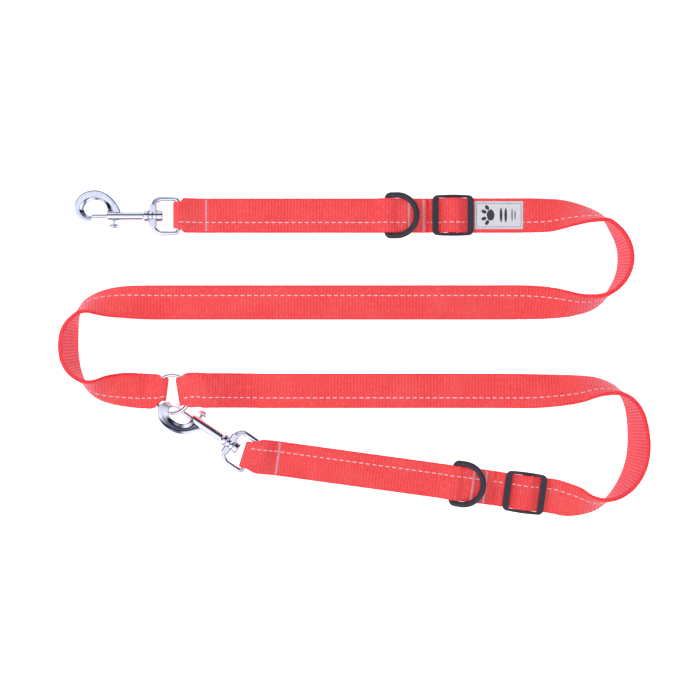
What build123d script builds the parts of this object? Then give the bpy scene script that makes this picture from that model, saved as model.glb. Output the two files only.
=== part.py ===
from build123d import *
import math
import os

# Training leash: 25 mm webbing laid out in an S, a swivel bolt snap, D-ring and
# tri-glide slider at each end, an O-ring in the middle. Millimetres, +Z up, the
# leash rests on Z = 0 and the origin is under the middle of its bounding box.

# ---- webbing
WEB_W = 25.0
WEB_T = 1.0
LAYER_GAP = 0.32
LAYER = WEB_T + LAYER_GAP   # pitch of stacked layers
LOW_Z, MID_Z, TOP_Z = (WEB_T / 2 + k * LAYER for k in range(3))   # centrelines of a flat stack
METAL_GAP = 0.15            # between webbing and the D-ring or slider
FOLD_R = 2.55               # centreline radius of the snap fold
FOLD_HALF = 9.6             # half width of the strap pinched in the snap eye

# strap ends, measured along the strap from the D-ring bar
SPLICE, TOP_END, LOW_END = 12.5, 20.0, 29.3

# ---- stitching and label
SEW_GAP = 0.02
TACK_L, TACK_T, TACK_INSET = 1.4, 0.34, 1.5
TACK_LAYERS = (2, 3, 2)     # webbing layers under each bar-tack
LABEL_L, LABEL_W, LABEL_T = 35.5, 20.3, 0.6
LABEL_ALONG, LABEL_LEFT = 236.4, 0.15

# ---- D-ring
D_WIRE_R = 1.85
D_BAR_Z = 3.2               # height of the straight bar
D_LEG = 14.9                # half distance between the legs, and bow radius
D_FLAT = 7.4                # straight part of each leg
D_CORNER_R = 2.6
D_TILT = 14.0               # tipped up from flat

# ---- tri-glide slider
SL_LEN, SL_WID, SL_T = 30.0, 29.8, 2.2
SL_SIDE, SL_RAIL, SL_MID = 4.4, 2.1, 3.5   # end bars, side rails, centre bar
SL_Z = 3.95                 # underside
SL_CORNER_R, SL_WINDOW_R = 3.2, 0.9
SL_ROUND, SL_CHAMFER = 0.6, 0.35

# ---- O-ring
RING_R, RING_WIRE_R = 13.9, 1.55
RING_X, RING_Y, RING_Z = -131.84, -29.56, 10.3
RING_SLOPE_X, RING_SLOPE_Y = 0.2644, -0.0494   # rise of the ring's plane along X and Y
RING_GAP = 0.28             # between the ring's wire and the webbing
RING_LEAD = 42.0            # strap length over which the layers part towards the ring

# ---- bolt snap, local X along the barrel from the swivel face to the hook
BAR_R, BAR_END = 3.5, 30.8
COLLAR_R, COLLAR_L, COLLAR_ROUND = 4.9, 3.6, 0.6
BORE_GAP = 0.08
BOLT_R, BOLT_BACK, BOLT_TIP = 1.8, 22.5, 41.45
BOLT_ROUND = 0.35
BOLT_TRAVEL = 7.0
SLOT_W, SLOT_DEPTH = 3.3, 6.0
STUD_X, STEM_R, STEM_L, STEM_Y = 25.6, 1.2, 6.0, 3.2
SOCKET_R, SOCKET_DEPTH = 1.22, 2.0             # stem socket in the bolt
CAP_R, CAP_L, CAP_Y, CAP_ROUND = 3.8, 3.2, 7.6, 1.2
SPRING_X, SPRING_GAP, SPRING_TURNS = 8.2, 0.4, 9
SPRING_R, SPRING_WIRE_R = 1.3, 0.25
PIN_R = 2.0
PIN_HEAD_R, PIN_HEAD_ROUND = 4.6, 1.1
EYE_WIRE_R = 1.7
EYE_ARM_Y = 12.3
EYE_BAR_X, EYE_BASE_X = -21.0, -3.1
EYE_BASE = (5.9, 15.6, 6.4)
EYE_BASE_ROUND, EYE_SHOULDER_R, EYE_CORNER_R = 1.4, 6.8, 2.1

# hook sections: outer x, y; inner x, y; half thickness
HOOK = [
    ((19.5, -1.0), (30.4, -1.0), 2.9), ((20.6, -4.6), (30.5, -3.6), 2.9),
    ((22.6, -8.2), (30.9, -6.2), 2.9), ((26.0, -12.7), (31.8, -8.2), 2.8),
    ((30.5, -16.4), (33.6, -9.8), 2.7), ((35.0, -18.5), (36.3, -10.9), 2.6),
    ((39.5, -19.1), (39.5, -11.2), 2.5), ((44.4, -18.4), (42.6, -10.8), 2.4),
    ((49.5, -15.8), (45.3, -9.1), 2.2), ((53.1, -11.6), (46.8, -6.6), 2.0),
    ((54.7, -6.5), (47.2, -4.6), 1.9), ((53.6, -2.1), (46.6, -2.8), 1.9),
    ((51.1, 1.4), (45.4, -1.5), 1.9), ((47.8, 3.5), (44.0, -0.8), 1.9),
    ((44.3, 4.2), (42.8, -0.7), 1.9), ((41.6, 4.2), (41.6, -0.7), 1.9),
]
HOOK_SIDES = 14

# ---- centreline knots of the standing bends: x, y, twist in degrees
# (positive twist lifts the right-hand selvedge, negative the left-hand one)
BEND_RIGHT_TOP = [
    (124.29, 100.43, 0), (132.75, 100.43, 6), (141.92, 100.42, 17), (148.47, 100.9, 28),
    (154.92, 101.09, 40), (161.87, 100.88, 51.5), (169.39, 100.15, 64), (177.36, 98.44, 76),
    (182.81, 96.0, 86), (188.15, 90.06, 95), (192.49, 83.4, 100), (195.27, 75.82, 103),
    (196.04, 67.99, 104), (194.83, 60.23, 102), (191.7, 52.78, 98), (186.82, 46.28, 92),
    (181.4, 41.47, 84), (175.98, 38.41, 75), (169.56, 36.44, 66), (162.52, 35.44, 58),
    (155.64, 35.44, 48), (148.88, 35.94, 39), (141.91, 36.42, 30), (131.25, 36.92, 18),
    (119.07, 37.12, 8), (106.0, 37.1, 0),
]
BEND_LEFT = [
    (-138.26, 37.07, 0), (-150.58, 37.04, -8), (-160.41, 37.19, -17), (-168.76, 37.21, -25.5),
    (-177.8, 36.82, -36), (-186.12, 36.12, -51), (-192.89, 34.47, -66), (-198.13, 31.47, -78),
    (-201.49, 27.08, -88), (-204.02, 22.13, -98), (-205.87, 16.27, -106), (-206.78, 9.64, -110),
    (-206.8, 2.12, -110.5), (-205.6, -5.47, -108), (-202.93, -12.06, -101),
    (-198.78, -18.1, -90), (-193.67, -22.64, -77), (-188.47, -25.05, -64),
    (-182.63, -25.92, -49), (-175.42, -26.17, -35.5), (-165.83, -26.36, -22),
    (-156.44, -26.97, -11),
]
BEND_RIGHT_LOW = [
    (154.02, -106.32, -16), (161.55, -107.74, -33), (168.84, -108.98, -54),
    (176.07, -108.34, -70), (183.29, -105.71, -85), (189.9, -101.29, -97),
    (196.29, -94.55, -107), (201.47, -85.81, -114), (204.44, -76.79, -117),
    (205.61, -66.39, -117), (205.0, -55.18, -113.5), (203.12, -44.63, -108),
    (200.13, -37.18, -101), (196.22, -31.67, -93), (191.12, -27.77, -84),
    (185.15, -25.55, -75), (177.5, -24.43, -64), (170.52, -24.6, -54), (163.82, -25.53, -44),
    (156.83, -26.25, -36.5), (148.1, -26.84, -29), (140.05, -27.2, -22), (131.33, -27.5, -13),
    (120.53, -27.49, -5), (106.02, -27.39, 0), (40.0, -27.35, 0), (-60.0, -27.4, 0),
    (-66.0, -27.4, 0), (-72.0, -27.28, 0), (-78.0, -27.16, 0), (-84.0, -27.04, 0),
    (-90.0, -26.92, 0), (-96.0, -26.8, 0), (-102.0, -26.75, 0), (-108.0, -26.75, 0),
]
KNOT_STEP = 4.6             # target length of a piece between knots
STRAIGHT_MIN = 30.0         # knots further apart are joined by a straight run

# ---- the two ends; lengths along the strap start at the snap fold
# fold_z: height of the snap eye bar; d_bar, slider: D-ring bar and slider centre bar;
# tail: end of the slider loop's sewn tail; skew: turn of the fold on its bar;
# hold: extra length over which the folded layers stay apart
# ring_*: direction, offset to the left, pinched half width and taper at the O-ring
# snap_*: swivel face, axis angle about Z, pitch, roll, side of the stud
ENDS = {
    1: dict(origin=(-131.47, 100.38), direction=(1.0, 0.0), fold_z=5.0, d_bar=155.0,
            slider=203.0, tail=249.0, tacks=(23.4, 170.0, 180.6), skew=0.0, hold=0.0,
            path=BEND_RIGHT_TOP + BEND_LEFT, ring_dir=(0.992, -0.127), ring_offset=2.6,
            ring_half=8.3, ring_taper=13.0,
            snap_at=(-149.36, 99.8, 5.0), snap_angle=180.0, snap_pitch=0.0, snap_roll=0.0,
            snap_side=1),
    2: dict(origin=(-80.9, -73.23), direction=(0.99067, -0.13628), fold_z=6.6, d_bar=154.2,
            slider=206.6, tail=229.0, tacks=(25.3, 169.2, 179.8), skew=-10.0, hold=9.5,
            path=BEND_RIGHT_LOW, ring_dir=(-0.986, -0.165), ring_offset=-0.9,
            ring_half=10.1, ring_taper=8.0,
            snap_at=(-92.93, -63.97, 7.33), snap_angle=146.0, snap_pitch=1.95,
            snap_roll=37.78, snap_side=-1),
}
CENTRING = Location((-0.03, -0.08, 0.0))
ON_BASE = (Align.CENTER, Align.CENTER, Align.MIN)


# ---------------------------------------------------------------- helpers
def unit(vec):
    return vec * (1.0 / vec.length)


def polygon(points):
    return Face(Wire.make_polygon(points, close=True))


def skin(rings, turned=lambda i, j: False):
    """Closed solid through sections; turned(i, j) picks the other diagonal of a warped quad."""
    faces = []
    count = len(rings[0])
    for i, (ring, following) in enumerate(zip(rings, rings[1:])):
        for j in range(count):
            k = (j + 1) % count
            near, near_end, far_end, far = ring[j], ring[k], following[k], following[j]
            normal = (near_end - near).cross(far - near)
            flat = (normal.length > 1e-9
                    and abs((far_end - near).dot(unit(normal))) < 1e-7)
            if flat:
                faces.append(polygon([near, near_end, far_end, far]))
            elif turned(i, j):
                faces.append(polygon([near, near_end, far]))
                faces.append(polygon([near_end, far_end, far]))
            else:
                faces.append(polygon([near, near_end, far_end]))
                faces.append(polygon([near, far_end, far]))
    faces.append(polygon(rings[0]))
    faces.append(polygon(rings[-1]))
    solid = Solid(Shell(faces))
    if solid.volume < 0:
        solid = Solid(Shell([-face for face in faces]))
    return solid


def ribbon(sections, back_from=math.inf):
    """Strap through sections of centre, width vector, normal, half width.

    Both faces of a twisting strap, and the layer that comes back from section back_from on,
    are split along the same diagonals, so that they stay parallel."""
    rings = []
    for centre, across, normal, half in sections:
        side, rise = across * half, normal * (WEB_T / 2)
        rings.append([centre - side - rise, centre + side - rise,
                      centre + side + rise, centre - side + rise])
    return skin(rings, lambda i, j: j == (0 if i >= back_from else 2))


def smooth(t):
    t = min(1.0, max(0.0, t))
    return t * t * (3 - 2 * t)


def widen(narrow, t):
    """Half width going from narrow to the full webbing."""
    return narrow + (WEB_W / 2 - narrow) * smooth(t)


def ramp(u0, z0, u1, z1, n=6):
    """Points of an S-shaped rise or fall from (u0, z0) to (u1, z1)."""
    return [(u0 + (u1 - u0) * k / n, z0 + (z1 - z0) * smooth(k / n)) for k in range(n + 1)]


def arc(centre_u, centre_z, radius, start, end, n=10):
    angles = [math.radians(start + (end - start) * k / n) for k in range(n + 1)]
    return [(centre_u + radius * math.cos(angle), centre_z + radius * math.sin(angle))
            for angle in angles]


class LocalFrame:
    """Frame on the ground: u along the strap, v to its left."""

    def __init__(self, origin, direction):
        self.origin = Vector(*origin, 0)
        self.along = unit(Vector(*direction, 0))
        self.left = Vector(-self.along.Y, self.along.X, 0)

    def at(self, u, v, z):
        return self.origin + self.along * u + self.left * v + Vector(0, 0, z)

    def flat_plane(self, u, v, z):
        return Plane(origin=self.at(u, v, z), x_dir=self.along, z_dir=(0, 0, 1))


def end_frame(end):
    return LocalFrame(end["origin"], end["direction"])


def profile(frame, points, half=lambda u: WEB_W / 2, bank=0.0):
    """Sections along a centreline in the frame's u-z plane; bank is the rise across v."""
    across = unit(frame.left * -1.0 - Vector(0, 0, bank))
    out = []
    for i, (u, z) in enumerate(points):
        before, after = points[max(i - 1, 0)], points[min(i + 1, len(points) - 1)]
        du, dz = after[0] - before[0], after[1] - before[1]
        length = math.hypot(du, dz)
        normal = frame.along * (-dz / length) + Vector(0, 0, du / length)
        normal = unit(normal - across * normal.dot(across))
        out.append((frame.at(u, 0, z), across, normal, half(u)))
    return out


def spline(knots):
    """Catmull-Rom through x, y, twist knots."""
    out = []
    for i in range(len(knots) - 1):
        p0, p1 = knots[max(i - 1, 0)], knots[i]
        p2, p3 = knots[i + 1], knots[min(i + 2, len(knots) - 1)]
        # a neighbour across a straight run is mirrored from the near knots
        if math.dist(p0[:2], p1[:2]) > STRAIGHT_MIN:
            p0 = tuple(2 * b - c for b, c in zip(p1, p2))
        if math.dist(p2[:2], p3[:2]) > STRAIGHT_MIN:
            p3 = tuple(2 * c - b for b, c in zip(p1, p2))
        gap = math.dist(p1[:2], p2[:2])
        n = max(1, round(gap / KNOT_STEP)) if gap < STRAIGHT_MIN else 1
        for k in range(n):
            t = k / n
            out.append(tuple(
                0.5 * (2 * b + (c - a) * t + (2 * a - 5 * b + 4 * c - d) * t * t
                       + (3 * b - a - 3 * c + d) * t ** 3)
                for a, b, c, d in zip(p0, p1, p2, p3)))
    out.append(knots[-1])
    return out


def bend_sections(path, mouth_z, mouth_pitch):
    """Mid-surface of a two-layer run: centre, width vector, normal, layer pitch.

    It ends at the ring, at height mouth_z with its layers mouth_pitch apart."""
    out = []
    flat_z = (LAYER + WEB_T) / 2
    run = [0.0]
    for start, end in zip(path, path[1:]):
        run.append(run[-1] + math.dist(start[:2], end[:2]))
    for i, (x, y, twist) in enumerate(path):
        before, after = path[max(i - 1, 0)], path[min(i + 1, len(path) - 1)]
        along = unit(Vector(after[0] - before[0], after[1] - before[1], 0))
        right = Vector(along.Y, -along.X, 0)
        angle = math.radians(twist)
        cos, sin = math.cos(angle), math.sin(angle)
        across = right * cos + Vector(0, 0, sin)
        normal = right * -sin + Vector(0, 0, cos)
        near_ring = smooth(1 - (run[-1] - run[i]) / RING_LEAD)
        z = WEB_W / 2 * abs(sin) + flat_z * abs(cos)
        z += (mouth_z - flat_z) * near_ring
        z += LAYER * (1 - smooth(run[i] / 16.0))   # comes down off the sewn tail
        pitch = LAYER + (mouth_pitch - LAYER) * near_ring
        out.append((Vector(x, y, z), across, normal, pitch))
    return out


# ---------------------------------------------------------------- straps
def snap_strap(end):
    """Folded round the snap eye, closed over the D-ring bar."""
    frame = end_frame(end)
    bar, fold_z, hold = end["d_bar"], end["fold_z"], end["hold"]
    fold_u = FOLD_R + WEB_T / 2
    over_bar = D_BAR_Z + D_WIRE_R + METAL_GAP + WEB_T / 2
    low = [(bar + LOW_END, MID_Z), (bar + SPLICE, MID_Z)]
    low += ramp(bar + SPLICE - 0.5, MID_Z, bar + 5.0, LOW_Z)
    low += ramp(min(20.0 + hold, 23.5), LOW_Z, fold_u + hold, fold_z - FOLD_R, 8)
    fold = arc(fold_u, fold_z, FOLD_R, 270.0, 90.0)
    up = ramp(fold_u + hold, fold_z + FOLD_R, min(22.0 + hold, 24.3), MID_Z, 9)
    up += ramp(bar - 9.5, MID_Z, bar - 1.6, over_bar, 7)
    up += ramp(bar + 1.6, over_bar, bar + 8.4, TOP_Z, 7)
    up += [(bar + TOP_END, TOP_Z)]
    # without a hold the ramps meet the fold, so the shared points are dropped
    shared = 0 if hold else 1
    points = low + fold[shared:] + up[shared:]
    turned = []
    for centre, across, normal, half in profile(
            frame, points, lambda u: widen(FOLD_HALF, (u - 4.0) / 3.8)):
        u = (centre - frame.origin).dot(frame.along)
        angle = math.radians(end["skew"]) * (1 - smooth((u - 4.0) / 18.0))
        across = across * math.cos(angle) + frame.along * math.sin(angle)
        turned.append((centre, across, normal, half))
    return ribbon(turned)


def slider_upper(end):
    """From the splice, under one end bar, over the centre bar, under the other."""
    mid, cut = end["slider"], end["d_bar"] + LOW_END
    over_bar = SL_Z + SL_T + METAL_GAP + WEB_T + METAL_GAP + WEB_T / 2
    points = [(end["d_bar"] + SPLICE, LOW_Z)]
    points += ramp(cut + 0.3, LOW_Z, mid - 15.0, TOP_Z - 0.1, 5)
    points += ramp(mid - 10.4, TOP_Z, mid - 2.4, over_bar, 9)
    points += ramp(mid + 2.2, over_bar, mid + 10.0, TOP_Z, 9)
    points += [(end["tail"] + 1.0, TOP_Z)]
    return profile(end_frame(end), points)


def slider_lower(end):
    """Returning layer, wrapped round the centre bar and sewn back on itself."""
    mid, bar_z = end["slider"], SL_Z + SL_T / 2
    wrap_r = SL_T / 2 + METAL_GAP + WEB_T / 2
    points = [(end["tail"] + 1.0, MID_Z)]
    points += ramp(mid + 9.8, MID_Z, mid + 2.0, bar_z + wrap_r, 8)
    points += arc(mid - SL_MID / 2 - 0.5, bar_z, wrap_r, 90.0, 270.0)
    points += ramp(mid + 2.2, bar_z - wrap_r, mid + 8.5, LOW_Z)
    points += [(end["tail"], LOW_Z)]
    return profile(end_frame(end), points)


def ring_tunnel(frame, slope, centre_z, bank, half_gap, end):
    """Fold through the ring, following its tilt: u = 0 at the ring's centre."""
    tilt = math.atan(slope)
    arc_u = -7.6
    stations = (-19.0, -13.0, arc_u)
    outline = [(u, half_gap) for u in stations]
    outline += [(arc_u + half_gap * math.sin(math.radians(angle)),
                 half_gap * math.cos(math.radians(angle))) for angle in range(20, 161, 20)]
    outline += [(u, -half_gap) for u in reversed(stations)]
    points = [(u * math.cos(tilt) - h * math.sin(tilt),
               centre_z + u * math.sin(tilt) + h * math.cos(tilt)) for u, h in outline]
    return profile(frame, points,
                   lambda u: widen(end["ring_half"], (-7.5 - u) / end["ring_taper"]), bank)


def main_strap(end):
    """One strap from the splice to the ring and back to the slider."""
    frame = LocalFrame((RING_X, RING_Y), end["ring_dir"])
    along, left, offset = frame.along, frame.left, end["ring_offset"]
    slope = RING_SLOPE_X * along.X + RING_SLOPE_Y * along.Y
    bank = RING_SLOPE_X * left.X + RING_SLOPE_Y * left.Y
    frame.origin = frame.origin + left * offset
    centre_z = RING_Z + bank * offset
    half_gap = RING_WIRE_R + RING_GAP + WEB_T / 2

    def sway(u):
        """Brings the strap back to its own line as it leaves the ring."""
        shift = -offset * smooth((-11.0 - u) / 13.0)
        return left * shift + Vector(0, 0, bank * shift)

    tunnel = [(centre + sway((centre - frame.origin).dot(along)), across, normal, half)
              for centre, across, normal, half
              in ring_tunnel(frame, slope, centre_z, bank, half_gap, end)]
    # the last bend knots lead to the tunnel mouth
    mouth_u = -19.6
    mouth = frame.at(mouth_u, 0, 0) + sway(mouth_u)
    mouth_z = centre_z - 19.4 * slope + mouth.Z
    mouth_pitch = 2 * half_gap / math.cos(math.atan(slope))
    knots = end["path"] + [(mouth.X, mouth.Y, 0.0)]
    middle = bend_sections(spline(knots), mouth_z, mouth_pitch)[:-1]
    upper = [(centre + normal * (pitch / 2), across, normal, WEB_W / 2)
             for centre, across, normal, pitch in middle]
    lower = [(centre - normal * (pitch / 2), across, normal * -1.0, WEB_W / 2)
             for centre, across, normal, pitch in reversed(middle)]
    outward = slider_upper(end) + upper
    back_from = len(outward) + len(tunnel) // 2
    return ribbon(outward + tunnel + lower + slider_lower(end), back_from)


def bar_tacks(end):
    frame = end_frame(end)
    out = []
    for u, layers in zip(end["tacks"], TACK_LAYERS):
        z = WEB_T + (layers - 1) * LAYER + SEW_GAP
        tack = Box(TACK_L, WEB_W - 2 * TACK_INSET, TACK_T, align=ON_BASE)
        out.append(frame.flat_plane(u, 0, z) * tack)
    return Compound(children=out)


def label(end):
    plate = Box(LABEL_L, LABEL_W, LABEL_T, align=ON_BASE)
    z = WEB_T + 2 * LAYER + SEW_GAP
    return end_frame(end).flat_plane(LABEL_ALONG, LABEL_LEFT, z) * plate


# ---------------------------------------------------------------- rings and slider
def tube_on(wire, radius, near):
    """Round bar swept along a closed wire, starting on the edge nearest a point."""
    start = min(wire.edges(), key=lambda edge: (edge.center() - near).length)
    edges = list(wire.order_edges())
    first = min(range(len(edges)),
                key=lambda i: (edges[i].center() - start.center()).length)
    section = Plane(origin=start @ 0.0, z_dir=start % 0.0) * Circle(radius)
    return sweep(section, path=Wire(edges[first:] + edges[:first]))


def d_ring(end):
    """D with its straight bar on the local Y axis, then tipped up on that bar."""
    corners = [Vector(0, -D_LEG, 0), Vector(0, D_LEG, 0),
               Vector(D_FLAT, D_LEG, 0), Vector(D_FLAT, -D_LEG, 0)]
    wire = Wire([Edge.make_line(corners[0], corners[1]), Edge.make_line(corners[1], corners[2]),
                 Edge.make_three_point_arc(corners[2], Vector(D_FLAT + D_LEG, 0, 0), corners[3]),
                 Edge.make_line(corners[3], corners[0])])
    wire = wire.fillet_2d(D_CORNER_R, [v for v in wire.vertices() if abs(v.X) < 1e-6])
    body = tube_on(wire, D_WIRE_R, Vector(0, 0, 0))
    frame = end_frame(end)
    tilt = math.radians(D_TILT)
    x_dir = frame.along * math.cos(tilt) + Vector(0, 0, math.sin(tilt))
    z_dir = frame.along * -math.sin(tilt) + Vector(0, 0, math.cos(tilt))
    return Plane(origin=frame.at(end["d_bar"], 0, D_BAR_Z), x_dir=x_dir, z_dir=z_dir) * body


def slider(end):
    plate = Box(SL_LEN, SL_WID, SL_T)
    plate = fillet(plate.edges().filter_by(Axis.Z), SL_CORNER_R)
    window_l = (SL_LEN - 2 * SL_SIDE - SL_MID) / 2
    window_w = SL_WID - 2 * SL_RAIL
    window_x = SL_MID / 2 + window_l / 2
    for side in (-1, 1):
        window = Box(window_l, window_w, 2 * SL_T)
        window = fillet(window.edges().filter_by(Axis.Z), SL_WINDOW_R)
        plate = plate - Pos(side * window_x, 0, 0) * window
    rims = [edge for edge in plate.edges() if abs(abs(edge.center().Z) - SL_T / 2) < 1e-6]
    # guards against the rounding of all rims at once failing
    try:
        plate = fillet(rims, SL_ROUND)
    except Exception:
        plate = chamfer(rims, SL_CHAMFER)
    return end_frame(end).flat_plane(end["slider"], 0, SL_Z + SL_T / 2) * plate


def center_ring():
    normal = unit(Vector(-RING_SLOPE_X, -RING_SLOPE_Y, 1.0))
    return Plane(origin=(RING_X, RING_Y, RING_Z), z_dir=normal) * Torus(RING_R, RING_WIRE_R)


# ---------------------------------------------------------------- bolt snap
def snap_planes(end):
    """Rolled and level snap planes: local X to the hook, local Y to the thumb stud."""
    angle, pitch, roll = (math.radians(end[key])
                          for key in ("snap_angle", "snap_pitch", "snap_roll"))
    axis = Vector(math.cos(angle) * math.cos(pitch), math.sin(angle) * math.cos(pitch),
                  math.sin(pitch))
    level = Vector(-math.sin(angle), math.cos(angle), 0) * end["snap_side"]
    up = axis.cross(level)
    if up.Z <= 0:
        up = up * -1.0
    rolled = level * math.cos(roll) - up * math.sin(roll)
    return [Plane(origin=end["snap_at"], x_dir=axis, z_dir=axis.cross(stud_dir))
            for stud_dir in (rolled, level)]


def hook_ring(outer, inner, half_t):
    """Elliptical section between an outer and an inner point."""
    centre = Vector((outer[0] + inner[0]) / 2, (outer[1] + inner[1]) / 2, 0)
    reach = Vector(inner[0] - outer[0], inner[1] - outer[1], 0) * 0.5
    angles = [2 * math.pi * k / HOOK_SIDES for k in range(HOOK_SIDES)]
    return [centre + reach * math.cos(angle) + Vector(0, 0, half_t * math.sin(angle))
            for angle in angles]


def along_x(radius, x0, x1):
    return Pos((x0 + x1) / 2, 0, 0) * (Rot(0, 90, 0) * Cylinder(radius, x1 - x0))


def along_y(radius, length, y):
    """Cylinder along Y at the thumb stud, centred on y."""
    return Pos(STUD_X, y, 0) * (Rot(90, 0, 0) * Cylinder(radius, length))


def hook_body():
    body = skin([hook_ring(*section) for section in HOOK])
    body = body + along_x(BAR_R, COLLAR_L - 0.5, BAR_END)
    collar = along_x(COLLAR_R, 0.05, COLLAR_L)
    body = body + fillet(collar.edges(), COLLAR_ROUND)
    body = body - along_x(BOLT_R + BORE_GAP, 7.5, 41.0)
    body = body - along_x(PIN_R + 0.01, -1.0, 6.2)
    slot = Box(BOLT_TRAVEL + SLOT_W, SLOT_DEPTH, SLOT_W)
    return body - Pos(STUD_X - BOLT_TRAVEL / 2, SLOT_DEPTH / 2, 0) * slot


def gate_bolt():
    bolt = along_x(BOLT_R, BOLT_BACK, BOLT_TIP)
    bolt = fillet(bolt.edges(), BOLT_ROUND)
    return bolt - along_y(SOCKET_R, SOCKET_DEPTH, SOCKET_DEPTH / 2)


def thumb_stud():
    stem = along_y(STEM_R, STEM_L, STEM_Y)
    cap = along_y(CAP_R, CAP_L, CAP_Y)
    return stem + fillet(cap.edges(), CAP_ROUND)


def gate_spring():
    length = BOLT_BACK - SPRING_GAP - SPRING_X
    path = Helix(pitch=length / SPRING_TURNS, height=length, radius=SPRING_R)
    section = Plane(origin=path @ 0, z_dir=path % 0) * Circle(SPRING_WIRE_R)
    coil = sweep(section, path=path, is_frenet=True)
    return Pos(SPRING_X, 0, 0) * (Rot(0, 90, 0) * coil)


def swivel_pin():
    head = along_x(PIN_HEAD_R, -10.3, -6.3)
    head = fillet(head.edges().sort_by(Axis.X)[0:1], PIN_HEAD_ROUND)
    return along_x(PIN_R, -6.6, 6.0) + head


def swivel_eye():
    corners = [Vector(EYE_BAR_X, -EYE_ARM_Y, 0), Vector(EYE_BAR_X, EYE_ARM_Y, 0),
               Vector(EYE_BASE_X, EYE_ARM_Y, 0), Vector(EYE_BASE_X, -EYE_ARM_Y, 0)]
    wire = Wire.make_polygon(corners, close=True)
    wire = wire.fillet_2d(EYE_SHOULDER_R, [v for v in wire.vertices() if v.X > -10])
    wire = wire.fillet_2d(EYE_CORNER_R, [v for v in wire.vertices() if v.X < EYE_BAR_X + 0.1])
    loop = tube_on(wire, EYE_WIRE_R, Vector(EYE_BAR_X, 0, 0))
    base = Pos(EYE_BASE_X, 0, 0) * Box(*EYE_BASE)
    base = fillet(base.edges().filter_by(Axis.Y), EYE_BASE_ROUND)
    return (loop + base) - along_x(PIN_R + BORE_GAP, -7.0, 1.0)


# ---------------------------------------------------------------- build
def save(name, shape):
    export_step(CENTRING * shape, os.path.join("parts", name + ".step"))


os.makedirs("parts", exist_ok=True)
save("label", label(ENDS[1]))
save("center_ring", center_ring())
for number, end in ENDS.items():
    for make in (snap_strap, main_strap, bar_tacks, d_ring, slider):
        save(f"{make.__name__}_{number}", make(end))
    rolled, level = snap_planes(end)
    for make in (hook_body, gate_bolt, thumb_stud, gate_spring, swivel_pin):
        save(f"{make.__name__}_{number}", rolled * make())
    save(f"swivel_eye_{number}", level * swivel_eye())
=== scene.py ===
# A leash of ribbed webbing lying flat on a white floor, seen from straight above (+Z).
# Both snap hooks are at the -X side and point towards -X; their straps run towards +X
# through a D-ring and a slider each. From the sliders the long strap bends round at +X and,
# on one side, again at -X, and both runs meet at the ring near (-132, -30).
# Lengths are in mm until a mesh is made; Blender units are metres.
import bpy, bmesh, math, random
from itertools import accumulate
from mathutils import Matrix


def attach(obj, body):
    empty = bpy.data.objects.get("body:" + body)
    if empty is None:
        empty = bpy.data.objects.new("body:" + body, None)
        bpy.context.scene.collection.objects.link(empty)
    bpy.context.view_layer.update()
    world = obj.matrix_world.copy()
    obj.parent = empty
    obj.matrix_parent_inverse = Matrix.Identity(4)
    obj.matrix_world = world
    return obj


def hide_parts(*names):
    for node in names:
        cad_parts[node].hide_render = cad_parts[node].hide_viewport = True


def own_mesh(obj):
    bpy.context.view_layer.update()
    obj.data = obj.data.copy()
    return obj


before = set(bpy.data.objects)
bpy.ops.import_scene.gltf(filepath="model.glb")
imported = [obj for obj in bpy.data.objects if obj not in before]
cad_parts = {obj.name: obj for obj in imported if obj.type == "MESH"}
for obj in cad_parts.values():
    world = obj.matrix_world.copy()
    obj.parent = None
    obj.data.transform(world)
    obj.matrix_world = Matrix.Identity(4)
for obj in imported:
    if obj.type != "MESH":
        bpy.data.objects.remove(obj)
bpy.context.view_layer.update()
from types import SimpleNamespace
from mathutils import Vector, Matrix
random.seed(7)
MM = 0.001
SHIFT = Vector((-0.03, -0.08, 0.0))     # moves the drawn layout onto the CAD frame

# ------------------------------------------------------------ webbing sizes
WEB_W, WEB_T = 25.0, 1.0
HALF_W, MID = WEB_W / 2, WEB_T / 2      # half width; centre height of the lowest layer
LAYER = 1.32                            # height step from one stacked layer to the next
VISIBLE_T = 1.2                         # thickness over the ribs
RIB = 2.33                              # rib pitch along the webbing
FOLD_HALF, FOLD_R = 9.6, 2.55           # half width and inner radius in the fold at the snap
SPLICE, TOP_END, LOW_END = 12.5, 20.0, 29.3     # cut ends, measured past the D-ring bar
DASH_PITCH, DASH_L, DASH_W, DASH_OFF = 4.85, 3.25, 0.74, 5.05

# ------------------------------------------------------------ hardware sizes
DEE_Z, DEE_WIRE_R = 3.2, 1.85
DEE_HALF, DEE_FLAT, DEE_CORNER_R, DEE_TILT = 14.9, 7.4, 2.6, 14.0
SLIDER_T, SLIDER_Z, SLIDER_BAR = 2.2, 3.95, 3.5     # thickness, underside, middle bar
SLIDER_SIDE, SLIDER_RAIL, SLIDER_L, SLIDER_W = 4.4, 2.1, 30.0, 29.8
SLIDER_TRIM = 0.14                      # taken off the top and bottom of the slider
CLEAR = 0.15                            # gap between webbing and metal
RING_WIRE_R = 1.55
RING_X, RING_Y, RING_Z = -131.84, -29.56, 10.3
RING_SLOPE_X, RING_SLOPE_Y = 0.2644, -0.0494
RING_LEAD = 42.0                        # length over which a strap rises to the ring
EYE_HALF, EYE_END, EYE_WIRE_R = 12.3, -21.0, 1.7
SPRING_FROM, SPRING_TO = 8.2, 22.1

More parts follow.
